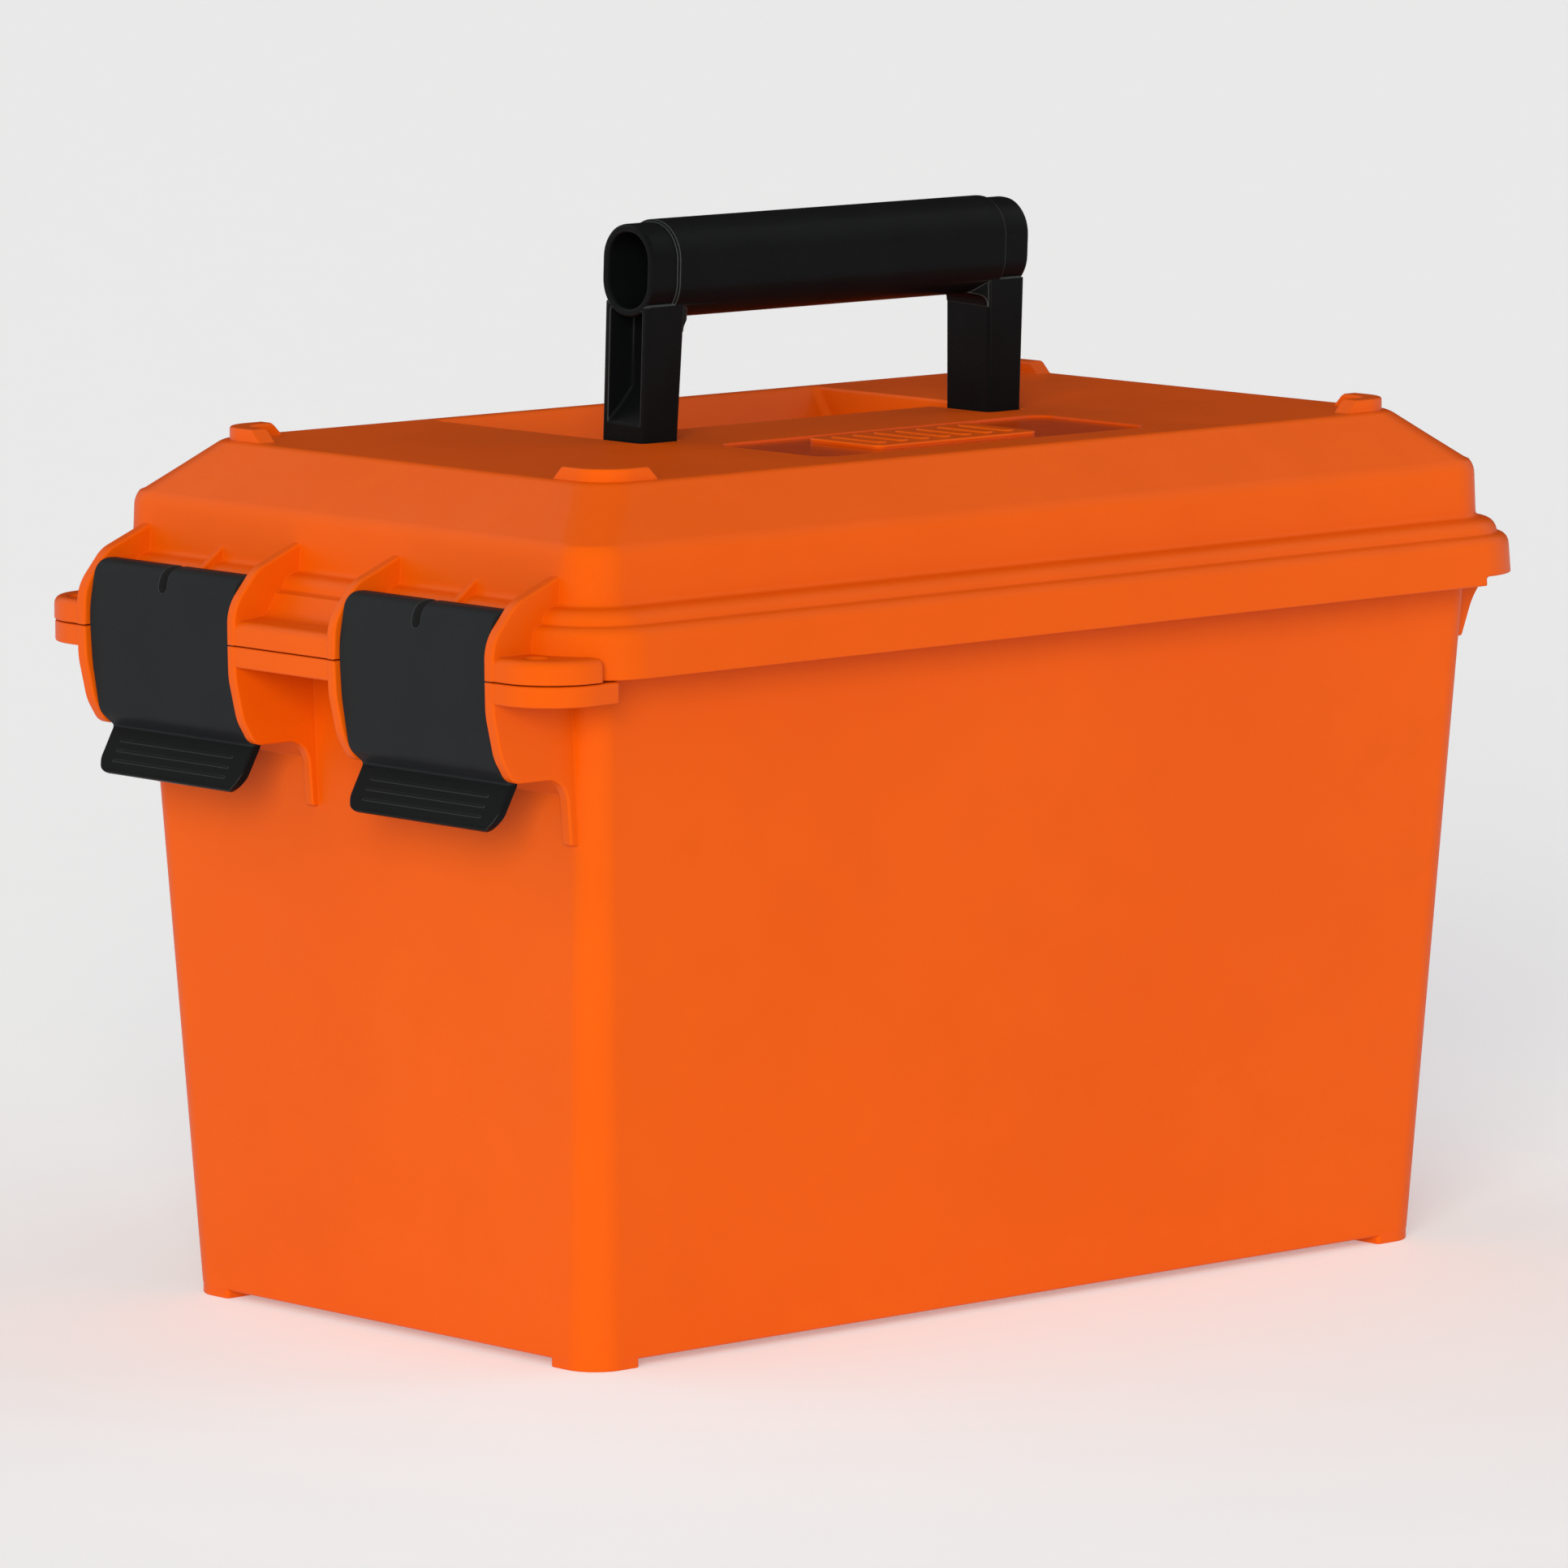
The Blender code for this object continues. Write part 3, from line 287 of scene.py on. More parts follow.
def cut(*tools):
    return [("DIFFERENCE", tool) for tool in tools]


def clean(obj):
    """Merges doubled points and sets smooth shading with crisp edges and flat large faces."""
    shape = bmesh.new()
    shape.from_mesh(obj.data)
    bmesh.ops.remove_doubles(shape, verts=shape.verts, dist=MERGE_DISTANCE)
    bmesh.ops.dissolve_degenerate(shape, dist=SLIVER_SIZE, edges=shape.edges)
    shape.to_mesh(obj.data)
    shape.free()
    obj.data.shade_smooth()
    obj.data.set_sharp_from_angle(angle=SMOOTH_ANGLE)
    weights = obj.modifiers.new("weights", "WEIGHTED_NORMAL")
    weights.keep_sharp = True
    apply_modifiers(obj)
    return obj


def mirrored(points):
    """Outline on the other side of the middle, x = 0."""
    return [(-p[0], p[1]) for p in points]


# ---------------------------------------------------------------- tub
def tub_half(z):
    """Half width and half length of the tapered wall at a height."""
    share = (z - FOOT_HEIGHT) / (TAPER_END_Z - FOOT_HEIGHT)
    return [low + (high - low) * share for low, high in zip(BASE_HALF, TOP_HALF)]


def tub_corner(z):
    return BASE_CORNER + (TOP_CORNER - BASE_CORNER) * (z - FOOT_HEIGHT) / (TAPER_END_Z - FOOT_HEIGHT)


def tub_shell():
    """Wall, floor, flange and sealing rim in one skin: up the outside, over the rim, down the inside."""
    outside = [(2.0, -0.9), (2.12, -0.45), (2.45, -0.13), (2.9, 0.0), (20, 0), (60, 0), (100, 0), (140, 0),
               (164.6, 0), (165.9, 0.15), (166.7, 0.6), (167.0, 1.3)]
    rings = [ring_at(tub_half(z), tub_corner(z), z, grow) for z, grow in outside]
    rim = [(167.0, -0.5), (167.15, -0.15), (167.5, 0), (176.0, 0), (176.35, -0.15), (RIM_TOP_Z, -0.5),
           (RIM_TOP_Z, 0.5 - RIM_WALL), (176.35, 0.15 - RIM_WALL), (176.0, -RIM_WALL), (170.6, -RIM_WALL),
           (170.0, -0.3 - RIM_WALL), (FLANGE_TOP_Z, -0.9 - RIM_WALL)]
    rings += [ring_at(RIM_HALF, RIM_CORNER, z, grow) for z, grow in rim]
    inside = [(FLANGE_TOP_Z, 0.5 - WALL), (169.6, 0.12 - WALL), (169.2, -WALL), (140, -WALL), (100, -WALL),
              (60, -WALL), (20, -WALL), (FLOOR_TOP_Z + 3, -WALL), (FLOOR_TOP_Z + 1.5, -0.4 - WALL),
              (FLOOR_TOP_Z + 0.4, -1.5 - WALL), (FLOOR_TOP_Z, -3 - WALL)]
    rings += [ring_at(tub_half(z), tub_corner(z), z, grow) for z, grow in inside]
    return skin("tub_body", rings)


def rib_spans():
    """Low and high x of the ribs beside the latches, on both sides of the middle."""
    for near, far in RIB_SPANS:
        yield near, far
        yield -far, -near


def make_tub():
    tools = tub_feet() + tub_front_pieces() + tub_rear_pieces()
    holes = [padlock_hole(side, 155, 167) for side in (-1, 1)]
    return clean(combine(tub_shell(), *join(*tools), *cut(*holes, hinge_bore())))


def tub_feet():
    x, y = BASE_HALF[0] - 0.05, BASE_HALF[1] - 0.05
    corners = [(x, y, BASE_CORNER), (x - FOOT_REACH, y, 1), (x - FOOT_REACH, y - FOOT_REACH, 5),
               (x, y - FOOT_REACH, 1)]
    feet = []
    for side_x in (-1, 1):
        for side_y in (-1, 1):
            outline = [(side_x * a, side_y * b) for a, b in filleted(corners)]
            feet.append(prism("foot", outline, "Z", 0, 3.2, 0.35))
    return feet


def tub_front_pieces():
    """Lower halves of the latch housings: ribs, padlock tabs, catches and the plate between the latches."""
    rib = filleted([
        (-ROOT_Y, TUB_JOINT_Z, 0), (-169.7, TUB_JOINT_Z, 0), (-169.5, 158.5, 20), (-167.0, 148.0, 12),
        (-163.3, 142.1, 4), (-147.2, 142.0, 6), (-145.9, 126.2, 0.8), (-ROOT_Y, 125.8, 0),
    ])
    tools = [prism("rib", rib, "X", low, high, 0.55) for low, high in rib_spans()]
    tab = filleted([
        (74.2, -144.2, 0), (75, TAB_FRONT_Y, 0), (TAB_HALF_X, TAB_FRONT_Y, TAB_CORNER), (94.2, -145.8, 1.5),
        (80.3, -143.2, 0),
    ])
    catch = filleted([
        (-ROOT_Y, 152, 0), (-160.8, 152, 0), (-162.0, 150.8, 0.6), (-162.0, 148.4, 0), (-158.5, 148.4, 2),
        (-ROOT_Y, 136.6, 0),
    ])
    low_z = TUB_JOINT_Z - TUB_TAB_HEIGHT
    for side in (-1, 1):
        outline = tab if side > 0 else mirrored(tab)
        tools.append(prism("tab", outline, "Z", low_z, TUB_JOINT_Z, 0.45))
        low, high = sorted((side * (RIB_SPANS[0][1] - 1), side * (RIB_SPANS[1][0] + 1)))
        tools.append(prism("catch", catch, "X", low, high))
    back = -ROOT_Y - 0.7
    plate = filleted([
        (back, TUB_JOINT_Z, 0), (TAB_FRONT_Y, TUB_JOINT_Z, 0.35), (TAB_FRONT_Y, low_z, 0.7), (back, low_z, 0),
    ])
    tools.append(prism("plate", plate, "X", -PLATE_HALF_X, PLATE_HALF_X))
    return tools


def tub_rear_pieces():
    """Hinge knuckles on their arms, and a slim fin near each rear corner."""
    arm = filleted([
        (ROOT_Y, TUB_JOINT_Z, 0), (HINGE_AXIS[0], TUB_JOINT_Z, 0), (HINGE_AXIS[0], HINGE_AXIS[1] - 4.6, 0),
        (151.5, HINGE_AXIS[1] - 6.5, 8), (146.4, 141, 0.8), (ROOT_Y, 141, 0),
    ])
    fin = filleted([
        (ROOT_Y, TUB_JOINT_Z, 0), (154.5, TUB_JOINT_Z, 0.6), (150.2, 161.5, 16), (146.4, 152, 0.8),
        (ROOT_Y, 152, 0),
    ])
    tools = hinge_arms(arm, TUB_KNUCKLES)
    for side in (-1, 1):
        middle = side * FIN_X
        tools.append(prism("fin", fin, "X", middle - FIN_HALF_WIDTH, middle + FIN_HALF_WIDTH, 0.4))
    return tools


def hinge_arms(arm, spans):
    """A knuckle round the hinge axis over each span, on an arm slightly narrower than the knuckle."""
    tools = []
    for low, high in spans:
        tools.append(prism("arm", arm, "X", low + 0.25, high - 0.25, 0.5))
        tools.append(rod("knuckle", KNUCKLE_RADIUS, low, high, "X", (0, *HINGE_AXIS), edge=0.5))
    return tools


def hinge_bore():
    return rod("bore", HINGE_BORE_RADIUS, -60, 60, "X", (0, *HINGE_AXIS), 40)


def latch_bore(side, half):
    middle = side * LATCH_CENTRE_X
    return rod("bore", LATCH_BORE_RADIUS, middle - half, middle + half, "X", (0, *LATCH_AXIS), 32)


def padlock_hole(side, low, high):
    return rod("hole", PADLOCK_RADIUS, low, high, "Z", (side * PADLOCK_HOLE[0], PADLOCK_HOLE[1], 0), 40)


# ---------------------------------------------------------------- lid
def lid_outside():
    """Outer skin of the lid: skirt, rolled ledge, upright wall, soft shoulder, slope and flat top."""
    skirt = [(LID_JOINT_Z, 8.6), (LID_JOINT_Z + 0.15, 8.88), (LID_JOINT_Z + 0.45, 9.0), (171, 8.7),
             (175.6, 8.35), (176.7, 8.15), (177.5, 7.75), (178.15, 7.1), (178.5, 6.4), (178.62, 5.75),
             (178.85, 5.4), (179.3, 5.28), (180.1, 5.05), (180.9, 4.6), (181.55, 3.95), (182.0, 3.2),
             (182.3, 2.3), (182.45, 1.4), (182.65, 0.75), (183.0, 0.3), (183.6, 0.05), (184.4, 0)]
    rings = [ring_at(LID_WALL_HALF, LID_CORNER, z, grow) for z, grow in skirt]
    wall_top = SHOULDER_Z - 2.4
    rings.append(ring_at(LID_WALL_HALF, LID_CORNER, wall_top, -0.35))
    start = Vector((LID_WALL_HALF[0] - 0.35, wall_top))
    corner = Vector((LID_WALL_HALF[0] - 0.42, SHOULDER_Z))
    rim = Vector((TOP_EDGE_HALF[0], LID_TOP_Z))
    slope = (rim - corner).normalized()
    end = corner + slope * 2.4
    for step in range(1, 8):
        share = step / 8
        bend = start.lerp(corner, share).lerp(corner.lerp(end, share), share)
        rings.append(ring_at(LID_WALL_HALF, LID_CORNER, bend.y, bend.x - LID_WALL_HALF[0]))
    length_offset = (LID_WALL_HALF[1] - LID_WALL_HALF[0]) - (TOP_EDGE_HALF[1] - TOP_EDGE_HALF[0])

    def slope_ring(point, share):
        half = (point.x, point.x + LID_WALL_HALF[1] - LID_WALL_HALF[0] - length_offset * share)
        return ring_at(half, LID_CORNER - 0.5, point.y)

    span = (rim - end).length
    before_rim = rim - slope * 1.1
    rings.append(slope_ring(end, 0.0))
    rings.append(slope_ring(end.lerp(before_rim, 0.5), 0.5))
    rings.append(slope_ring(before_rim, (before_rim - end).length / span))
    inward = rim + Vector((-1.1, 0))
    for step in range(1, 5):
        share = step / 4
        bend = before_rim.lerp(rim, share).lerp(rim.lerp(inward, share), share)
        rings.append(slope_ring(bend, 1.0))
    return skin("lid_body", rings)


def flared_box(name, low, high, z0, z1, radius, flare, fillet, slope=0.0):
    """Cutter for a pocket: rounded floor edge, straight or sloping walls, and a rounded mouth at z1."""
    rings = []

    def ring(z, grow):
        lean = slope * max(0.0, (z1 - z) / (z1 - z0))
        outline = rounded_rectangle(
            low[0] + lean - grow, high[0] + grow, low[1] - grow, high[1] + grow, max(radius + grow, 0.2)
        )
        rings.append(at_height(outline, z))

    for step in range(5):
        angle = math.pi / 2 * step / 4
        ring(z0 + fillet * (1 - math.cos(angle)), -fillet * (1 - math.sin(angle)))
    for step in range(5):
        angle = math.pi / 2 * step / 4
        ring(z1 - flare + flare * math.sin(angle), flare * (1 - math.cos(angle)))
    ring(z1 + 4, flare)
    return skin(name, rings)


def stacking_lug(side_x, side_y):
    """A rounded corner wall with sloping ends, standing on the edge of the top."""
    x, y = TOP_EDGE_HALF[0] - LUG_INSET, TOP_EDGE_HALF[1] - LUG_INSET
    low = LID_TOP_Z - 1.5

    def inner_outline(grow):
        inner_x, inner_y = x - LUG_WALL + grow, y - LUG_WALL + grow
        radius = LID_CORNER - LUG_INSET - LUG_WALL + grow
        return rounded_rectangle(-inner_x, inner_x, -inner_y, inner_y, radius)

    lug = prism("lug", rounded_rectangle(-x, x, -y, y, LID_CORNER - LUG_INSET), "Z", low, LUG_TOP_Z, 0.6)
    hole = prism("lug_hole", inner_outline(0), "Z", low - 1, LUG_TOP_Z - 0.6)
    mouth = skin("lug_mouth", [
        at_height(inner_outline(grow), LUG_TOP_Z + rise)
        for rise, grow in ((-2, 0), (-0.6, 0), (-0.42, 0.08), (-0.18, 0.3), (0, 0.6), (1, 0.6))
    ])
    return combine(lug, *cut(hole, mouth), ("INTERSECT", lug_limit(side_x, side_y)))


def lug_limit(side_x, side_y):
    """Block that keeps one corner of the lug's ring, with its ends leaning inwards as they rise."""
    shape = bmesh.new()
    bmesh.ops.create_cube(shape, size=1)
    for vert in shape.verts:
        top = vert.co.z > 0
        arm = LUG_REACH - (3.4 if top else -1.6)
        reach_x = TOP_EDGE_HALF[0] + 5 if vert.co.x > 0 else TOP_EDGE_HALF[0] - arm
        reach_y = TOP_EDGE_HALF[1] + 5 if vert.co.y > 0 else TOP_EDGE_HALF[1] - arm
        vert.co = (side_x * reach_x, side_y * reach_y, LUG_TOP_Z + 0.2 if top else LID_TOP_Z - 1.7)
    bmesh.ops.recalc_face_normals(shape, faces=shape.faces)
    return mesh_object("lug_limit", shape)


def lid_front_pieces():
    """Upper halves of the latch housings: ribs, padlock tabs and the plate between the latches."""
    rib = filleted([
        (-LID_ROOT_Y, LID_JOINT_Z, 0), (-LID_ROOT_Y, 190.1, 0), (-147.5, 190.1, 0), (-162.3, 184.2, 9),
        (-169.8, 175.5, 11), (-169.7, LID_JOINT_Z, 0),
    ])
    tools = [prism("rib", rib, "X", low, high, 0.55) for low, high in rib_spans()]
    centre_rib = filleted([
        (-LID_ROOT_Y, 170, 0), (-LID_ROOT_Y, 187.6, 0), (-147.6, 187.6, 0), (-157.5, 180.2, 4),
        (-165.2, 180.0, 2.6), (-165.2, 174.8, 2.2), (-155, 172.5, 0),
    ])
    tab = filleted([
        (74.2, -153, 0), (75, TAB_FRONT_Y, 0), (TAB_HALF_X, TAB_FRONT_Y, TAB_CORNER), (94.9, -151.0, 2),
        (88, -150, 0),
    ])
    high_z = LID_JOINT_Z + LID_TAB_HEIGHT
    for side in (-1, 1):
        middle = side * LATCH_CENTRE_X
        low, high = middle - CENTRE_RIB_HALF_WIDTH, middle + CENTRE_RIB_HALF_WIDTH
        tools.append(prism("centre_rib", centre_rib, "X", low, high, 0.35))
        outline = tab if side > 0 else mirrored(tab)
        tools.append(rounded_tab(outline, high_z))
    plate = filleted([
        (-153, LID_JOINT_Z, 0), (-153, 178.2, 0), (-156.8, 178.2, 0), (-159.8, 173.0, 4.5),
        (TAB_FRONT_Y, high_z, 2.4), (TAB_FRONT_Y, LID_JOINT_Z, 0.3),
    ])
    tools.append(prism("plate", plate, "X", -PLATE_HALF_X, PLATE_HALF_X))
    return tools


def rounded_tab(outline, high_z):
    """Padlock tab with a big soft upper edge and a small lower one."""
    shape, (lower, upper) = raw_prism(outline, "Z", LID_JOINT_Z, high_z)
    round_edges(shape, [upper], 1.9, 6)
    round_edges(shape, [lower], 0.3, 2)
    return mesh_object("tab", shape)


def lid_hinge_pieces():
    back, front = HINGE_AXIS[0] + KNUCKLE_RADIUS - 0.1, HINGE_AXIS[0] - KNUCKLE_RADIUS + 0.1
    low_z = REAR_RELIEF_Z + 0.4
    arm = filleted([
        (155.8, low_z, 0), (155.8, 177.0, 0), (160, 177.0, 4), (back, 170.5, 4), (back, HINGE_AXIS[1], 0),
        (front, HINGE_AXIS[1], 0), (front, low_z, 0),
    ])
    return hinge_arms(arm, LID_KNUCKLES)


def lid_hollow_tools():
    """Cutters for the inside of the lid: skirt, groove of the seal, dome, and relief at the hinge."""
    inside = (SKIRT_HALF[0] - WALL, SKIRT_HALF[1] - WALL)
    hollow = skin("skirt_hollow", [
        ring_at(inside, SKIRT_CORNER - WALL, z, grow)
        for z, grow in ((LID_JOINT_Z - 2, 0), (LID_JOINT_Z, 0), (LIP_Z - 1.0, -0.8), (LIP_Z - 0.3, -1.0),
                        (LIP_Z, -1.6))
    ])
    groove = skin("groove", [
        ring_at(LID_WALL_HALF, LID_CORNER, LIP_Z - 0.5, GROOVE_WIDTH),
        ring_at(LID_WALL_HALF, LID_CORNER, SEAL_CEILING_Z, GROOVE_WIDTH),
    ])
    core = skin("core", [
        ring_at(LID_WALL_HALF, LID_CORNER, LIP_Z - 2), ring_at(LID_WALL_HALF, LID_CORNER, LIP_Z + 8),
    ])
    groove = combine(groove, *cut(core))
    dome = [(LIP_Z - 1, 0.0), (LIP_Z + 0.2, 0.0), (SHOULDER_Z - 3.5, -0.35), (SHOULDER_Z - 2.4, -0.55),
            (SHOULDER_Z - 1.2, -1.2)]
    rings = [ring_at(LID_WALL_HALF, LID_CORNER, z, grow - WALL) for z, grow in dome]
    top = (TOP_EDGE_HALF[0] - WALL, TOP_EDGE_HALF[1] - WALL)
    for grow, drop in ((2.2, 1.85), (0.9, 0.9), (-0.9, 0.15), (-2.4, 0)):
        rings.append(ring_at((top[0] + grow, top[1] + grow), 8, LID_TOP_Z - WALL - drop))
    behind = SKIRT_HALF[1] + 0.25
    rear_relief = block("relief", (-100, REAR_RELIEF_Y, LID_JOINT_Z - 2), (100, behind, REAR_RELIEF_Z))
    return [hollow, groove, skin("dome", rings), rear_relief]


def lid_tray_tools():
    """Material under the handle's pocket and round the sockets of its trunnions."""
    low_z, high_z = POCKET_FLOOR_Z - WALL, LID_TOP_Z - 1
    outline = [(-70.5, high_z), (-9.5, high_z), (-9.5, low_z), (-61, low_z)]
    tools = [prism("tray", outline, "Y", -66.5, 66.5)]
    for side in (-1, 1):
        low, high = sorted((side * 47.9, side * 69.7))
        tools.append(block("socket", (-12.5, low, low_z + 0.1), (11.7, high, high_z)))
    return tools


def lid_pocket_tools():
    """Cutters for the handle's pocket, the legs' slots, the trunnions' sockets and the label recess."""
    low, high = (-69, -POCKET_HALF_Y), (-12.5, POCKET_HALF_Y)
    tools = [flared_box("pocket", low, high, POCKET_FLOOR_Z, LID_TOP_Z, 2.2, 0.8, 1.0, slope=11.0)]
    for side in (-1, 1):
        low, high = sorted((side * LEG_SLOT_INNER_Y, side * (POCKET_HALF_Y - 0.02)))
        slot_floor_z = POCKET_FLOOR_Z + 0.05
        tools.append(flared_box("slot", (-15.5, low), (8.7, high), slot_floor_z, LID_TOP_Z, 1.4, 0.5, 0.6))
        low, high = sorted((side * SOCKET_START_Y, side * SOCKET_END_Y))
        tools.append(rod("socket_hole", SOCKET_RADIUS, low, high, "Y", (0, 0, HANDLE_AXIS_Z), 32))
    floor_z = LID_TOP_Z - RECESS_DEPTH
    tools.append(flared_box("recess", RECESS_LOW, RECESS_HIGH, floor_z, LID_TOP_Z, 5, 0.25, 0.25))
    return tools


def label_plate():
    """Raised plate with plain bars across it, in the label recess."""
    outline = rounded_rectangle(*LABEL_SPAN, 2.5)
    plate = prism("plate", outline, "Z", LID_TOP_Z - 2, LID_TOP_Z + LABEL_HEIGHT, 0.35)
    bars = []
    for index in range(BAR_COUNT):
        middle = -21.5 + index * BAR_PITCH
        outline = rounded_rectangle(31, 49, middle - 1.6, middle + 1.6, 1.2)
        bars.append(prism("bar", outline, "Z", LID_TOP_Z, LID_TOP_Z + BAR_HEIGHT, 0.3))
    return combine(plate, *join(*bars))


def make_lid():
    lid = combine(lid_outside(), *join(*lid_front_pieces(), *lid_hinge_pieces()))
    lid = combine(lid, *cut(*lid_hollow_tools()))
    lid = combine(lid, *join(*lid_tray_tools()), *cut(*lid_pocket_tools()))
    lugs = [stacking_lug(x, y) for x in (-1, 1) for y in (-1, 1)]
    holes = []
    for side in (-1, 1):
        holes += [padlock_hole(side, 166, 174), latch_bore(side, 29.0)]
    return clean(combine(lid, *join(*lugs, label_plate()), *cut(*holes, hinge_bore())))


# ---------------------------------------------------------------- sealing ring
def make_seal():
    """Round rubber cord that follows the lid's wall."""
    offset = 0.25 + SEAL_RADIUS
    x, y = LID_WALL_HALF[0] + offset, LID_WALL_HALF[1] + offset
    path = rounded_rectangle(-x, x, -y, y, LID_CORNER + offset)
    sides, height = 16, RIM_TOP_Z + GAP + SEAL_RADIUS
    shape = bmesh.new()
    loops = []
    for index, point in enumerate(path):
        along = (path[(index + 1) % len(path)] - path[index - 1]).normalized()
        outward = Vector((along.y, -along.x))
        loop = []
        for step in range(sides):
            angle = 2 * math.pi * step / sides
            side = point + outward * (SEAL_RADIUS * math.cos(angle))
            loop.append(shape.verts.new((side.x, side.y, height + SEAL_RADIUS * math.sin(angle))))
        loops.append(loop)
    for index, loop in enumerate(loops):
        wall_between(shape, loop, loops[(index + 1) % len(loops)])
    return clean(mesh_object("seal_ring", shape))


# ---------------------------------------------------------------- handle
def grip_ring(shrink, y):
    """Rounded outline of the grip at a place along it, drawn in by an offset."""
    half_x, half_z = GRIP_HALF_X - shrink, (GRIP_TOP - GRIP_BOTTOM) / 2 - shrink
    middle = (GRIP_TOP + GRIP_BOTTOM) / 2
    outline = rounded_rectangle(-half_x, half_x, middle - half_z, middle + half_z, half_x - 0.4)
    return [(p[0], y, p[1]) for p in outline]


def grip_skin(name, profile):
    """Skin along the grip through (y, shrink) places, given from one end and repeated at the other."""
    rings = [grip_ring(shrink, -y) for y, shrink in profile]
    rings += [grip_ring(shrink, y) for y, shrink in reversed(profile)]
    return skin(name, rings)


def make_handle():
    """Hollow grip on two channel-shaped legs, drawn upright about its own axis and then leaned."""
    end, bar = HANDLE_HALF_Y, HANDLE_HALF_Y - COLLAR_LENGTH
    handle = grip_skin("handle_body", [
        (end, 1.4), (end - 0.1, 1.05), (end - 0.4, 0.8), (end - 0.9, COLLAR_STEP), (bar + 0.35, COLLAR_STEP),
        (bar, 0), (bar * 0.5, 0),
    ])
    wall = COLLAR_STEP + GRIP_WALL
    bore = grip_skin("bore", [
        (end + 1, wall - 0.7), (end, wall - 0.7), (end - 0.2, wall - 0.35), (end - 0.8, wall),
    ])
    legs = []
    for side in (-1, 1):
        legs.append(combine(handle_leg(side), *cut(leg_channel(side))))
        low, high = sorted((side * (LEG_OUTER_Y - 2), side * TRUNNION_END_Y))
        legs.append(rod("trunnion", TRUNNION_RADIUS, low, high, "Y", (0, 0, 0), 32, 0.3))
        legs.append(leg_fillet(side))
    combine(handle, *join(*legs), *cut(bore))
    lean = Matrix.Translation((0, 0, HANDLE_AXIS_Z * MM)) @ Matrix.Rotation(HANDLE_LEAN, 4, "Y")
    handle.data.transform(lean)
    return clean(handle)


def handle_leg(side):
    """Leg with a round foot about the axis, growing deeper from its foot to the grip."""
    outline = [(LEG_HALF_X, LEG_TOP), (-LEG_HALF_X, LEG_TOP)]
    for step in range(25):
        angle = math.pi * step / 24
        outline.append((-LEG_HALF_X * math.cos(angle), -LEG_HALF_X * math.sin(angle)))
    leg = prism("leg", outline, "Y", 0, 1)
    shape = bmesh.new()
    shape.from_mesh(leg.data)
    bpy.data.objects.remove(leg)
    for vert in shape.verts:
        vert.co /= MM
        share = (vert.co.z + LEG_HALF_X) / (LEG_TOP + LEG_HALF_X)
        depth = 10.2 + 1.8 * share
        vert.co.y = side * (LEG_OUTER_Y - (depth if vert.co.y < 0.5 else 0))
    bmesh.ops.recalc_face_normals(shape, faces=shape.faces)
    round_edges(shape, [face for face in shape.faces if abs(face.normal.y) > 0.9], 0.9, 4)
    return mesh_object("leg", shape)


def leg_fillet(side):
    """Web that curves from the leg's inner face into the grip's underside, with a rounded end."""
    inner, radius, steps = LEG_OUTER_Y - 11.8, 3.2, 16
    root, tip = LEG_HALF_X - 0.45, 3.0
    rings = []
    for step in range(-1, steps + 1):
        reach = radius * max(step, 0) / steps
        width = tip + (root - tip) * math.sqrt(max(1 - (reach / radius) ** 2, 0))
        low = GRIP_BOTTOM + 0.35 - radius + math.sqrt(radius ** 2 - (radius - reach) ** 2)
        y = side * (inner - reach if step >= 0 else inner + 2)
        rings.append([(-width, y, low), (width, y, low), (width, y, LEG_TOP), (-width, y, LEG_TOP)])
    return skin("fillet", rings)


def leg_channel(side):
    """Cutter for the channel in the outer face of a leg, with a sloping lower end."""
    reach = LEG_HALF_X - 2.1
    depth, top = 7.2, GRIP_BOTTOM + 2.6
    rings = []
    for inward, foot, narrow in ((-1, 9.8, -0.15), (0, 10.6, -0.1), (0.5, 11.4, 0.1), (3.5, 14.4, 0.25),
                                 (depth - 1.0, 17.6, 0.45), (depth - 0.3, 18.8, 0.8), (depth, 20.2, 1.5)):
        outline = rounded_rectangle(-reach + narrow, reach - narrow, foot, top - narrow, 0.8)
        rings.append([(p[0], side * (LEG_OUTER_Y - inward), p[1]) for p in outline])
    return skin("channel", rings)


# ---------------------------------------------------------------- latches
def latch_outline():
    """Section of a latch: barrel round the pin, curved plate, ribbed lip, and the hook behind."""
    return filleted([
        (-158.4, 182.4, 3.0), (-166.6, 182.4, 4.4), (-168.8, 170.0, 30), (-168.0, 157.5, 40),
        (-165.9, 145.3, 5), (*LIP_CREASE, 0.9), (*LIP_TIP, 1.0), (-165.1, 130.2, 1.0),
        (-158.8, 141.4, 2.5), (-160.4, 148.1, 0.4),
        (-163.1, 148.1, 0.4), (-165.1, 158.0, 20), (-165.9, 170.0, 6), (-164.2, 174.0, 2),
        (-158.4, 174.0, 3),
    ], 8)


def make_latch(name, side):
    middle = side * LATCH_CENTRE_X
    low, high = middle - LATCH_WIDTH / 2, middle + LATCH_WIDTH / 2
    half_slit = SLIT_WIDTH / 2
    latch = prism(name, latch_outline(), "X", low, high, 0.5)
    slit = rounded_rectangle(middle - half_slit, middle + half_slit, SLIT_BOTTOM_Z, 196, half_slit - 0.1)
    tools = [
        prism("slit", slit, "Y", -175, -150),
        block("rear_slit", (middle - half_slit, -165.5, 172), (middle + half_slit, -150, 178)),
        latch_bore(side, 30),
        lip_corner(low, 1),
        lip_corner(high, -1),
    ]
    crease, tip = Vector(LIP_CREASE), Vector(LIP_TIP)
    ridges = [ridge(crease.lerp(tip, share), low + 4.8, high - 5.6) for share in RIDGE_PLACES]
    return clean(combine(latch, *cut(*tools), *join(*ridges)))


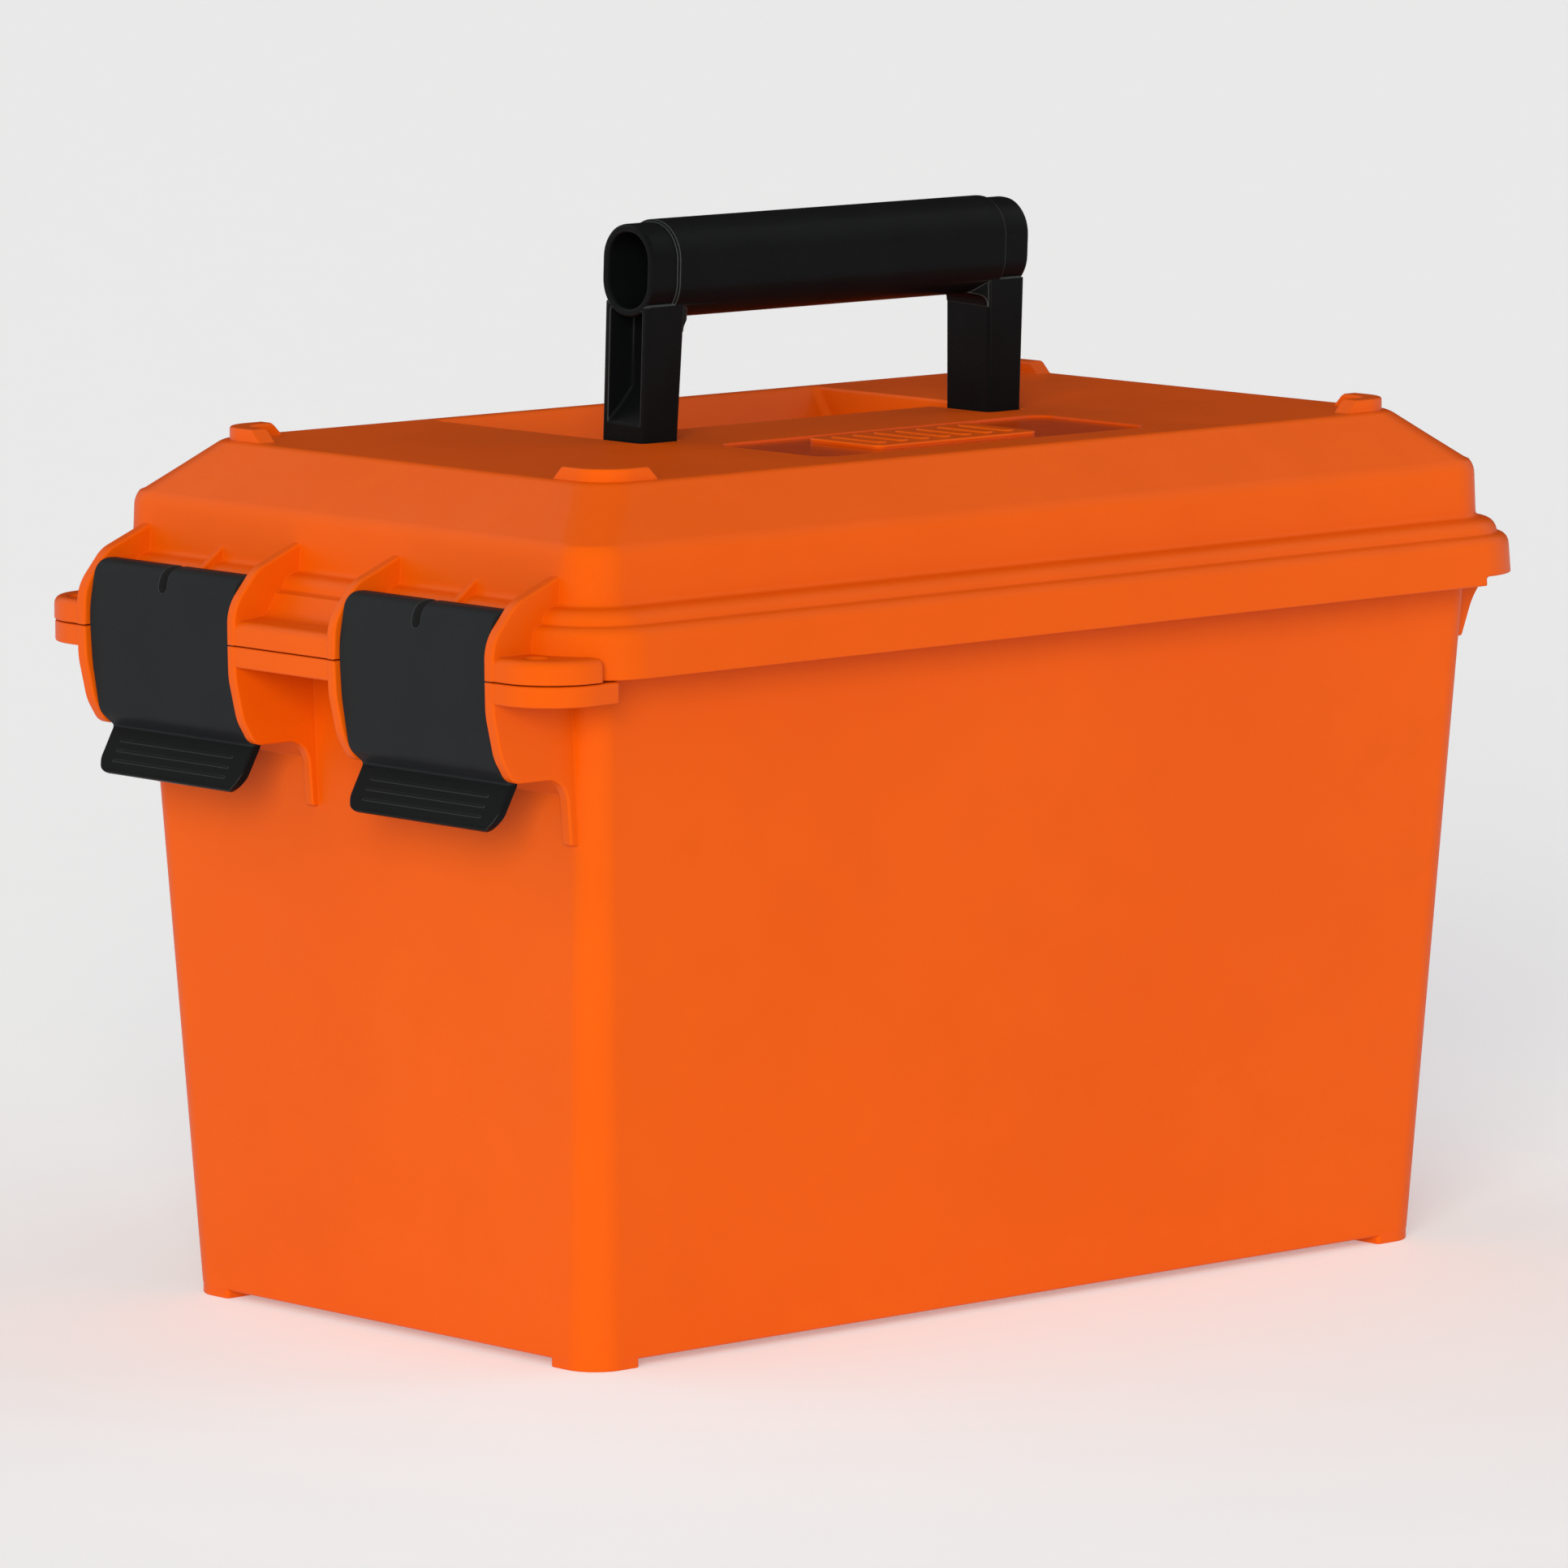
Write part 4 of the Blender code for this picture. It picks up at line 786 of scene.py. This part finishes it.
def ridge(point, low, high):
    """Thin bar with round ends, half sunk in the lip."""
    radius, sides = 0.3, 12
    rings = []
    for x, share in ((low, 0.25), (low + 0.15, 0.7), (low + 0.5, 1), (high - 0.5, 1), (high - 0.15, 0.7),
                     (high, 0.25)):
        ring = []
        for step in range(sides):
            angle = 2 * math.pi * step / sides
            y, z = radius * share * math.cos(angle), radius * share * math.sin(angle)
            ring.append((x, point.x + y, point.y + z))
        rings.append(ring)
    return skin("ridge", rings)


def lip_corner(end, inward):
    """Cutter that rounds a lower corner of the lip."""
    centre = (end + inward * LIP_CORNER, LIP_BOTTOM_Z + LIP_CORNER)
    outline = []
    for step in range(13):
        angle = math.pi / 2 * step / 12
        x, z = LIP_CORNER * math.cos(angle), LIP_CORNER * math.sin(angle)
        outline.append((centre[0] - inward * x, centre[1] - z))
    below = LIP_BOTTOM_Z - 2
    outline += [(centre[0], below), (end - inward, below), (end - inward, centre[1])]
    return prism("lip_corner", outline, "Y", -175, -150)


def make_pin(name, radius, half, middle, centre):
    return clean(rod(name, radius, middle - half, middle + half, "X", (0, *centre), 40, radius * 0.3))


# ---------------------------------------------------------------- materials
def new_material(name):
    """New material with its node tree, its shader and the object's own coordinates."""
    material = bpy.data.materials.new(name)
    material.use_nodes = True
    tree = material.node_tree
    shader = next(node for node in tree.nodes if node.type == "BSDF_PRINCIPLED")
    coords = tree.nodes.new("ShaderNodeTexCoord").outputs["Object"]
    return material, tree, shader, coords


def feed(tree, value, socket):
    """Links a value that comes from a node, or sets one that is the same all over."""
    if isinstance(value, bpy.types.NodeSocket):
        tree.links.new(value, socket)
    else:
        socket.default_value = value


def noise(tree, coords, scale, detail=2.0, rough=0.5, stretch=None):
    node = tree.nodes.new("ShaderNodeTexNoise")
    node.inputs["Scale"].default_value = scale
    node.inputs["Detail"].default_value = detail
    node.inputs["Roughness"].default_value = rough
    source = coords
    if stretch:
        mapping = tree.nodes.new("ShaderNodeMapping")
        mapping.inputs["Scale"].default_value = stretch
        tree.links.new(coords, mapping.inputs["Vector"])
        source = mapping.outputs["Vector"]
    tree.links.new(source, node.inputs["Vector"])
    return node.outputs["Fac"]


def ramp(tree, factor, low, high, low_at=0.3, high_at=0.7):
    """Maps a factor to a range of values."""
    node = tree.nodes.new("ShaderNodeMapRange")
    node.inputs["From Min"].default_value = low_at
    node.inputs["From Max"].default_value = high_at
    node.inputs["To Min"].default_value = low
    node.inputs["To Max"].default_value = high
    tree.links.new(factor, node.inputs["Value"])
    return node.outputs["Result"]


def mix_colour(tree, factor, first, second, blend="MIX"):
    node = tree.nodes.new("ShaderNodeMix")
    node.data_type = "RGBA"
    node.blend_type = blend
    for index, value in ((0, factor), (6, first), (7, second)):
        feed(tree, value, node.inputs[index])
    return node.outputs[2]


def math_node(tree, operation, first, second):
    node = tree.nodes.new("ShaderNodeMath")
    node.operation = operation
    feed(tree, first, node.inputs[0])
    feed(tree, second, node.inputs[1])
    return node.outputs[0]


def dot_product(tree, first, second):
    node = tree.nodes.new("ShaderNodeVectorMath")
    node.operation = "DOT_PRODUCT"
    feed(tree, first, node.inputs[0])
    feed(tree, second, node.inputs[1])
    return node.outputs["Value"]


def relief(tree, height, strength, distance, normal=None):
    """Bump from a height over a distance in millimetres, on top of another normal if one is given."""
    node = tree.nodes.new("ShaderNodeBump")
    node.inputs["Strength"].default_value = strength
    node.inputs["Distance"].default_value = distance * MM
    tree.links.new(height, node.inputs["Height"])
    if normal:
        tree.links.new(normal, node.inputs["Normal"])
    return node.outputs["Normal"]


def mottled(tree, coords, scale, detail, first, second):
    """Drifts between two colours."""
    return mix_colour(tree, ramp(tree, noise(tree, coords, scale, detail), 0.0, 1.0), first, second)


def inside_box(tree, coords, low, high):
    """One inside a box in millimetres, nought outside it."""
    split = tree.nodes.new("ShaderNodeSeparateXYZ")
    tree.links.new(coords, split.inputs[0])
    mask = 1.0
    for place, least, most in zip(split.outputs, low, high):
        above = math_node(tree, "GREATER_THAN", place, least * MM)
        below = math_node(tree, "LESS_THAN", place, most * MM)
        mask = math_node(tree, "MULTIPLY", above, mask)
        mask = math_node(tree, "MULTIPLY", below, mask)
    return mask


def painted_edge_highlight(tree, rounded_normal):
    """Painted highlight on rounded edges: rises towards one where the rounded normal turns away from the
    face's own normal.
    """
    geometry = tree.nodes.new("ShaderNodeNewGeometry")
    turn = dot_product(tree, rounded_normal, geometry.outputs["Normal"])
    return ramp(tree, turn, 1.0, 0.0, 1.0 - EDGE_HIGHLIGHT_WIDTH, 0.995)


def plastic(
    name, tones, roughness, grain, blotch, specular, edge, edge_highlight_colour=None, zone=None, zone_tint=None,
    zone_roughness=0.3,
):
    """Moulded plastic: soft colour drift, fine grain, rubbed patches, hairline scuffs, an optional zone
    tinted darker and made smoother, and an optional painted highlight on rounded edges.
    """
    material, tree, shader, coords = new_material(name)
    base, warm, dark = tones
    colour = mottled(tree, coords, 9.0, 3.0, base, warm)
    fine = ramp(tree, noise(tree, coords, 60.0, 4.0), 0.0, 1.0)
    colour = mix_colour(tree, math_node(tree, "MULTIPLY", fine, blotch), colour, dark)
    rounding = tree.nodes.new("ShaderNodeBevel")
    rounding.samples = 6
    rounding.inputs["Radius"].default_value = edge * MM
    rounded_normal = rounding.outputs["Normal"]
    rubbed = ramp(tree, noise(tree, coords, 22.0, 5.0, 0.6), roughness - 0.05, roughness + 0.06)
    scuff = ramp(tree, noise(tree, coords, 120.0, 2.0, 0.5, (0.35, 1.0, 6.0)), 0.0, 0.10, 0.66, 0.74)
    finish = math_node(tree, "ADD", rubbed, scuff)
    if zone:
        # Inside the zone the colour is multiplied by the tint and the roughness is lowered; in the lid's
        # label recess this darker tint is painted shade.
        darker_smoother_mask = inside_box(tree, coords, *zone)
        colour = mix_colour(tree, darker_smoother_mask, colour, mix_colour(tree, 1.0, colour, zone_tint, "MULTIPLY"))
        smoother = math_node(tree, "MULTIPLY", darker_smoother_mask, zone_roughness - roughness)
        finish = math_node(tree, "ADD", finish, smoother)
    # Painted highlight: rounded edges get a lighter colour.
    if edge_highlight_colour:
        colour = mix_colour(tree, painted_edge_highlight(tree, rounded_normal), colour, edge_highlight_colour)
    tree.links.new(colour, shader.inputs["Base Color"])
    tree.links.new(finish, shader.inputs["Roughness"])
    shader.inputs["Specular IOR Level"].default_value = specular
    grained = relief(tree, noise(tree, coords, 1900.0, 2.0, 0.6), grain, 0.08, rounded_normal)
    waved = relief(tree, noise(tree, coords, 14.0, 1.0), 0.25, 0.6, grained)
    tree.links.new(waved, shader.inputs["Normal"])
    return material


def orange_plastic(name, **shade_and_polish):
    return plastic(name, ORANGE_TONES, 0.42, 0.35, 0.25, specular=0.12, edge=0.5, **shade_and_polish)


def latch_plastic():
    return plastic(
        "black_latch_plastic", LATCH_TONES, 0.46, 0.6, 0.35, specular=0.03, edge=0.4,
        # Lighter colour of the painted edge highlight.
        edge_highlight_colour=(0.048, 0.049, 0.055, 1), zone=LIP_ZONE, zone_tint=(0.35, 0.35, 0.35, 1),
    )


def handle_plastic():
    return plastic(
        "black_handle_plastic", HANDLE_TONES, 0.36, 0.5, 0.3, specular=0.055, edge=0.5,
        # Lighter colour of the painted edge highlight.
        edge_highlight_colour=(0.080, 0.082, 0.092, 1),
    )


def drawn_steel():
    material, tree, shader, coords = new_material("drawn_steel")
    tree.links.new(mottled(tree, coords, 150.0, 3.0, *STEEL_TONES), shader.inputs["Base Color"])
    shader.inputs["Metallic"].default_value = 1.0
    streak = noise(tree, coords, 400.0, 2.0, 0.5, (0.05, 1.0, 1.0))
    tree.links.new(ramp(tree, streak, 0.22, 0.42), shader.inputs["Roughness"])
    tree.links.new(relief(tree, streak, 0.15, 0.05), shader.inputs["Normal"])
    return material


def seal_rubber():
    material, tree, shader, coords = new_material("seal_rubber")
    tree.links.new(mottled(tree, coords, 80.0, 4.0, *RUBBER_TONES), shader.inputs["Base Color"])
    tree.links.new(ramp(tree, noise(tree, coords, 40.0, 3.0), 0.62, 0.8), shader.inputs["Roughness"])
    tree.links.new(relief(tree, noise(tree, coords, 900.0, 2.0), 0.3, 0.1), shader.inputs["Normal"])
    return material


def floor_paper():
    material, tree, shader, coords = new_material("floor_paper")
    tree.links.new(mottled(tree, coords, 30.0, 3.0, *FLOOR_TONES), shader.inputs["Base Color"])
    shader.inputs["Roughness"].default_value = 0.9
    shader.inputs["Specular IOR Level"].default_value = 0.1
    shader.inputs["Emission Color"].default_value = (1, 1, 1, 1)
    shader.inputs["Emission Strength"].default_value = FLOOR_GLOW
    return material


# ---------------------------------------------------------------- camera, light and floor
def make_camera():
    across, rise = math.cos(CAMERA_ELEVATION), math.sin(CAMERA_ELEVATION)
    right = Vector((math.cos(CAMERA_AZIMUTH), math.sin(CAMERA_AZIMUTH), 0))
    forward = Vector((-math.sin(CAMERA_AZIMUTH) * across, math.cos(CAMERA_AZIMUTH) * across, -rise))
    up = right.cross(forward)
    data = bpy.data.cameras.new("camera")
    data.sensor_width = CAMERA_SENSOR
    data.lens = CAMERA_LENS
    data.clip_end = CAMERA_REACH
    camera = bpy.data.objects.new("camera", data)
    turn = Matrix((right, up, -forward)).transposed().to_4x4()
    camera.matrix_world = Matrix.Translation(CAMERA_PLACE) @ turn
    bpy.context.scene.collection.objects.link(camera)
    bpy.context.scene.camera = camera


def make_sun(name, towards, strength, angle, colour=(1, 1, 1), mirrored_in_gloss=True):
    data = bpy.data.lights.new(name, "SUN")
    data.energy = strength
    data.angle = math.radians(angle)
    data.color = colour
    lamp = bpy.data.objects.new(name, data)
    lamp.rotation_euler = Vector(towards).to_track_quat("Z", "Y").to_euler()
    lamp.visible_glossy = mirrored_in_gloss
    bpy.context.scene.collection.objects.link(lamp)


def make_floor():
    shape = bmesh.new()
    bmesh.ops.create_grid(shape, x_segments=2, y_segments=2, size=FLOOR_HALF_SIZE)
    floor = mesh_object("floor", shape)
    floor.data.materials.append(floor_paper())


def make_world():
    """Overhead softbox that fades to a dim horizon, dimmest behind the case."""
    world = bpy.data.worlds.new("studio")
    world.use_nodes = True
    tree = world.node_tree
    direction = tree.nodes.new("ShaderNodeTexCoord").outputs["Generated"]
    split = tree.nodes.new("ShaderNodeSeparateXYZ")
    tree.links.new(direction, split.inputs[0])
    height = ramp(tree, split.outputs["Z"], *SKY_LEVELS, 0.05, 0.75)
    rear = ramp(tree, dot_product(tree, direction, REAR_DIRECTION), 1.0, REAR_DIMMING, 0.3, 0.85)
    background = tree.nodes["Background"]
    background.inputs["Color"].default_value = (1.0, 0.97, 0.95, 1)
    tree.links.new(math_node(tree, "MULTIPLY", height, rear), background.inputs["Strength"])
    bpy.context.scene.world = world


def make_studio():
    make_floor()
    make_world()
    make_sun("key", (0.62, -0.72, 0.24), 2.95, 30, (0.86, 1, 0.80), mirrored_in_gloss=False)
    make_sun("front_fill", (-0.35, -0.90, 0.40), 0.22, 60, (1, 0.9, 1))
    make_sun("side_fill", (0.95, -0.10, 0.35), 0.30, 60, (1, 0.85, 0.85))
    make_sun("left_fill", (-0.95, -0.25, 0.30), 0.60, 60)
    make_sun("rear_fill", (0.30, 0.95, 0.30), 0.60, 60)
    bpy.context.scene.view_settings.view_transform = "Standard"
    bpy.context.scene.view_settings.look = "None"


# ---------------------------------------------------------------- build
def dress(obj, material, body, slot_name, *nodes):
    obj.data.materials.clear()
    obj.data.materials.append(material)
    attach(obj, body)
    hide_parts(*nodes)


make_camera()
make_studio()

orange_tub = orange_plastic("orange_tub_plastic")
orange_lid = orange_plastic(
    # The recess zone's darker tint is painted shade; the recess is also smoother.
    "orange_lid_plastic", zone=RECESS_SHADE_AND_GLOSS_ZONE, zone_tint=(0.84, 0.66, 0.7, 1), zone_roughness=0.2
)
black_latch, black_handle, steel = latch_plastic(), handle_plastic(), drawn_steel()

dress(make_tub(), orange_tub, "base", "tub_plastic", "base_tub")
dress(make_lid(), orange_lid, "lid", "lid_plastic", "lid_shell")
dress(make_seal(), seal_rubber(), "lid", "gasket_rubber", "lid_gasket")
dress(make_handle(), black_handle, "handle", "handle_plastic", "handle")
for tag, sign in (("left", -1), ("right", 1)):
    latch = make_latch("latch_%s_body" % tag, sign)
    dress(latch, black_latch, "latch_" + tag, "latch_plastic_" + tag, "latch_" + tag)
    middle = sign * LATCH_CENTRE_X
    pin = make_pin("latch_%s_pin" % tag, LATCH_PIN_RADIUS, LATCH_PIN_HALF, middle, LATCH_AXIS)
    dress(pin, steel, "lid", "latch_pin_steel_" + tag, "latch_pin_" + tag)
hinge_pin = make_pin("hinge_rod", HINGE_PIN_RADIUS, HINGE_PIN_HALF, 0, HINGE_AXIS)
dress(hinge_pin, steel, "base", "hinge_pin_steel", "hinge_pin")

bpy.context.view_layer.update()
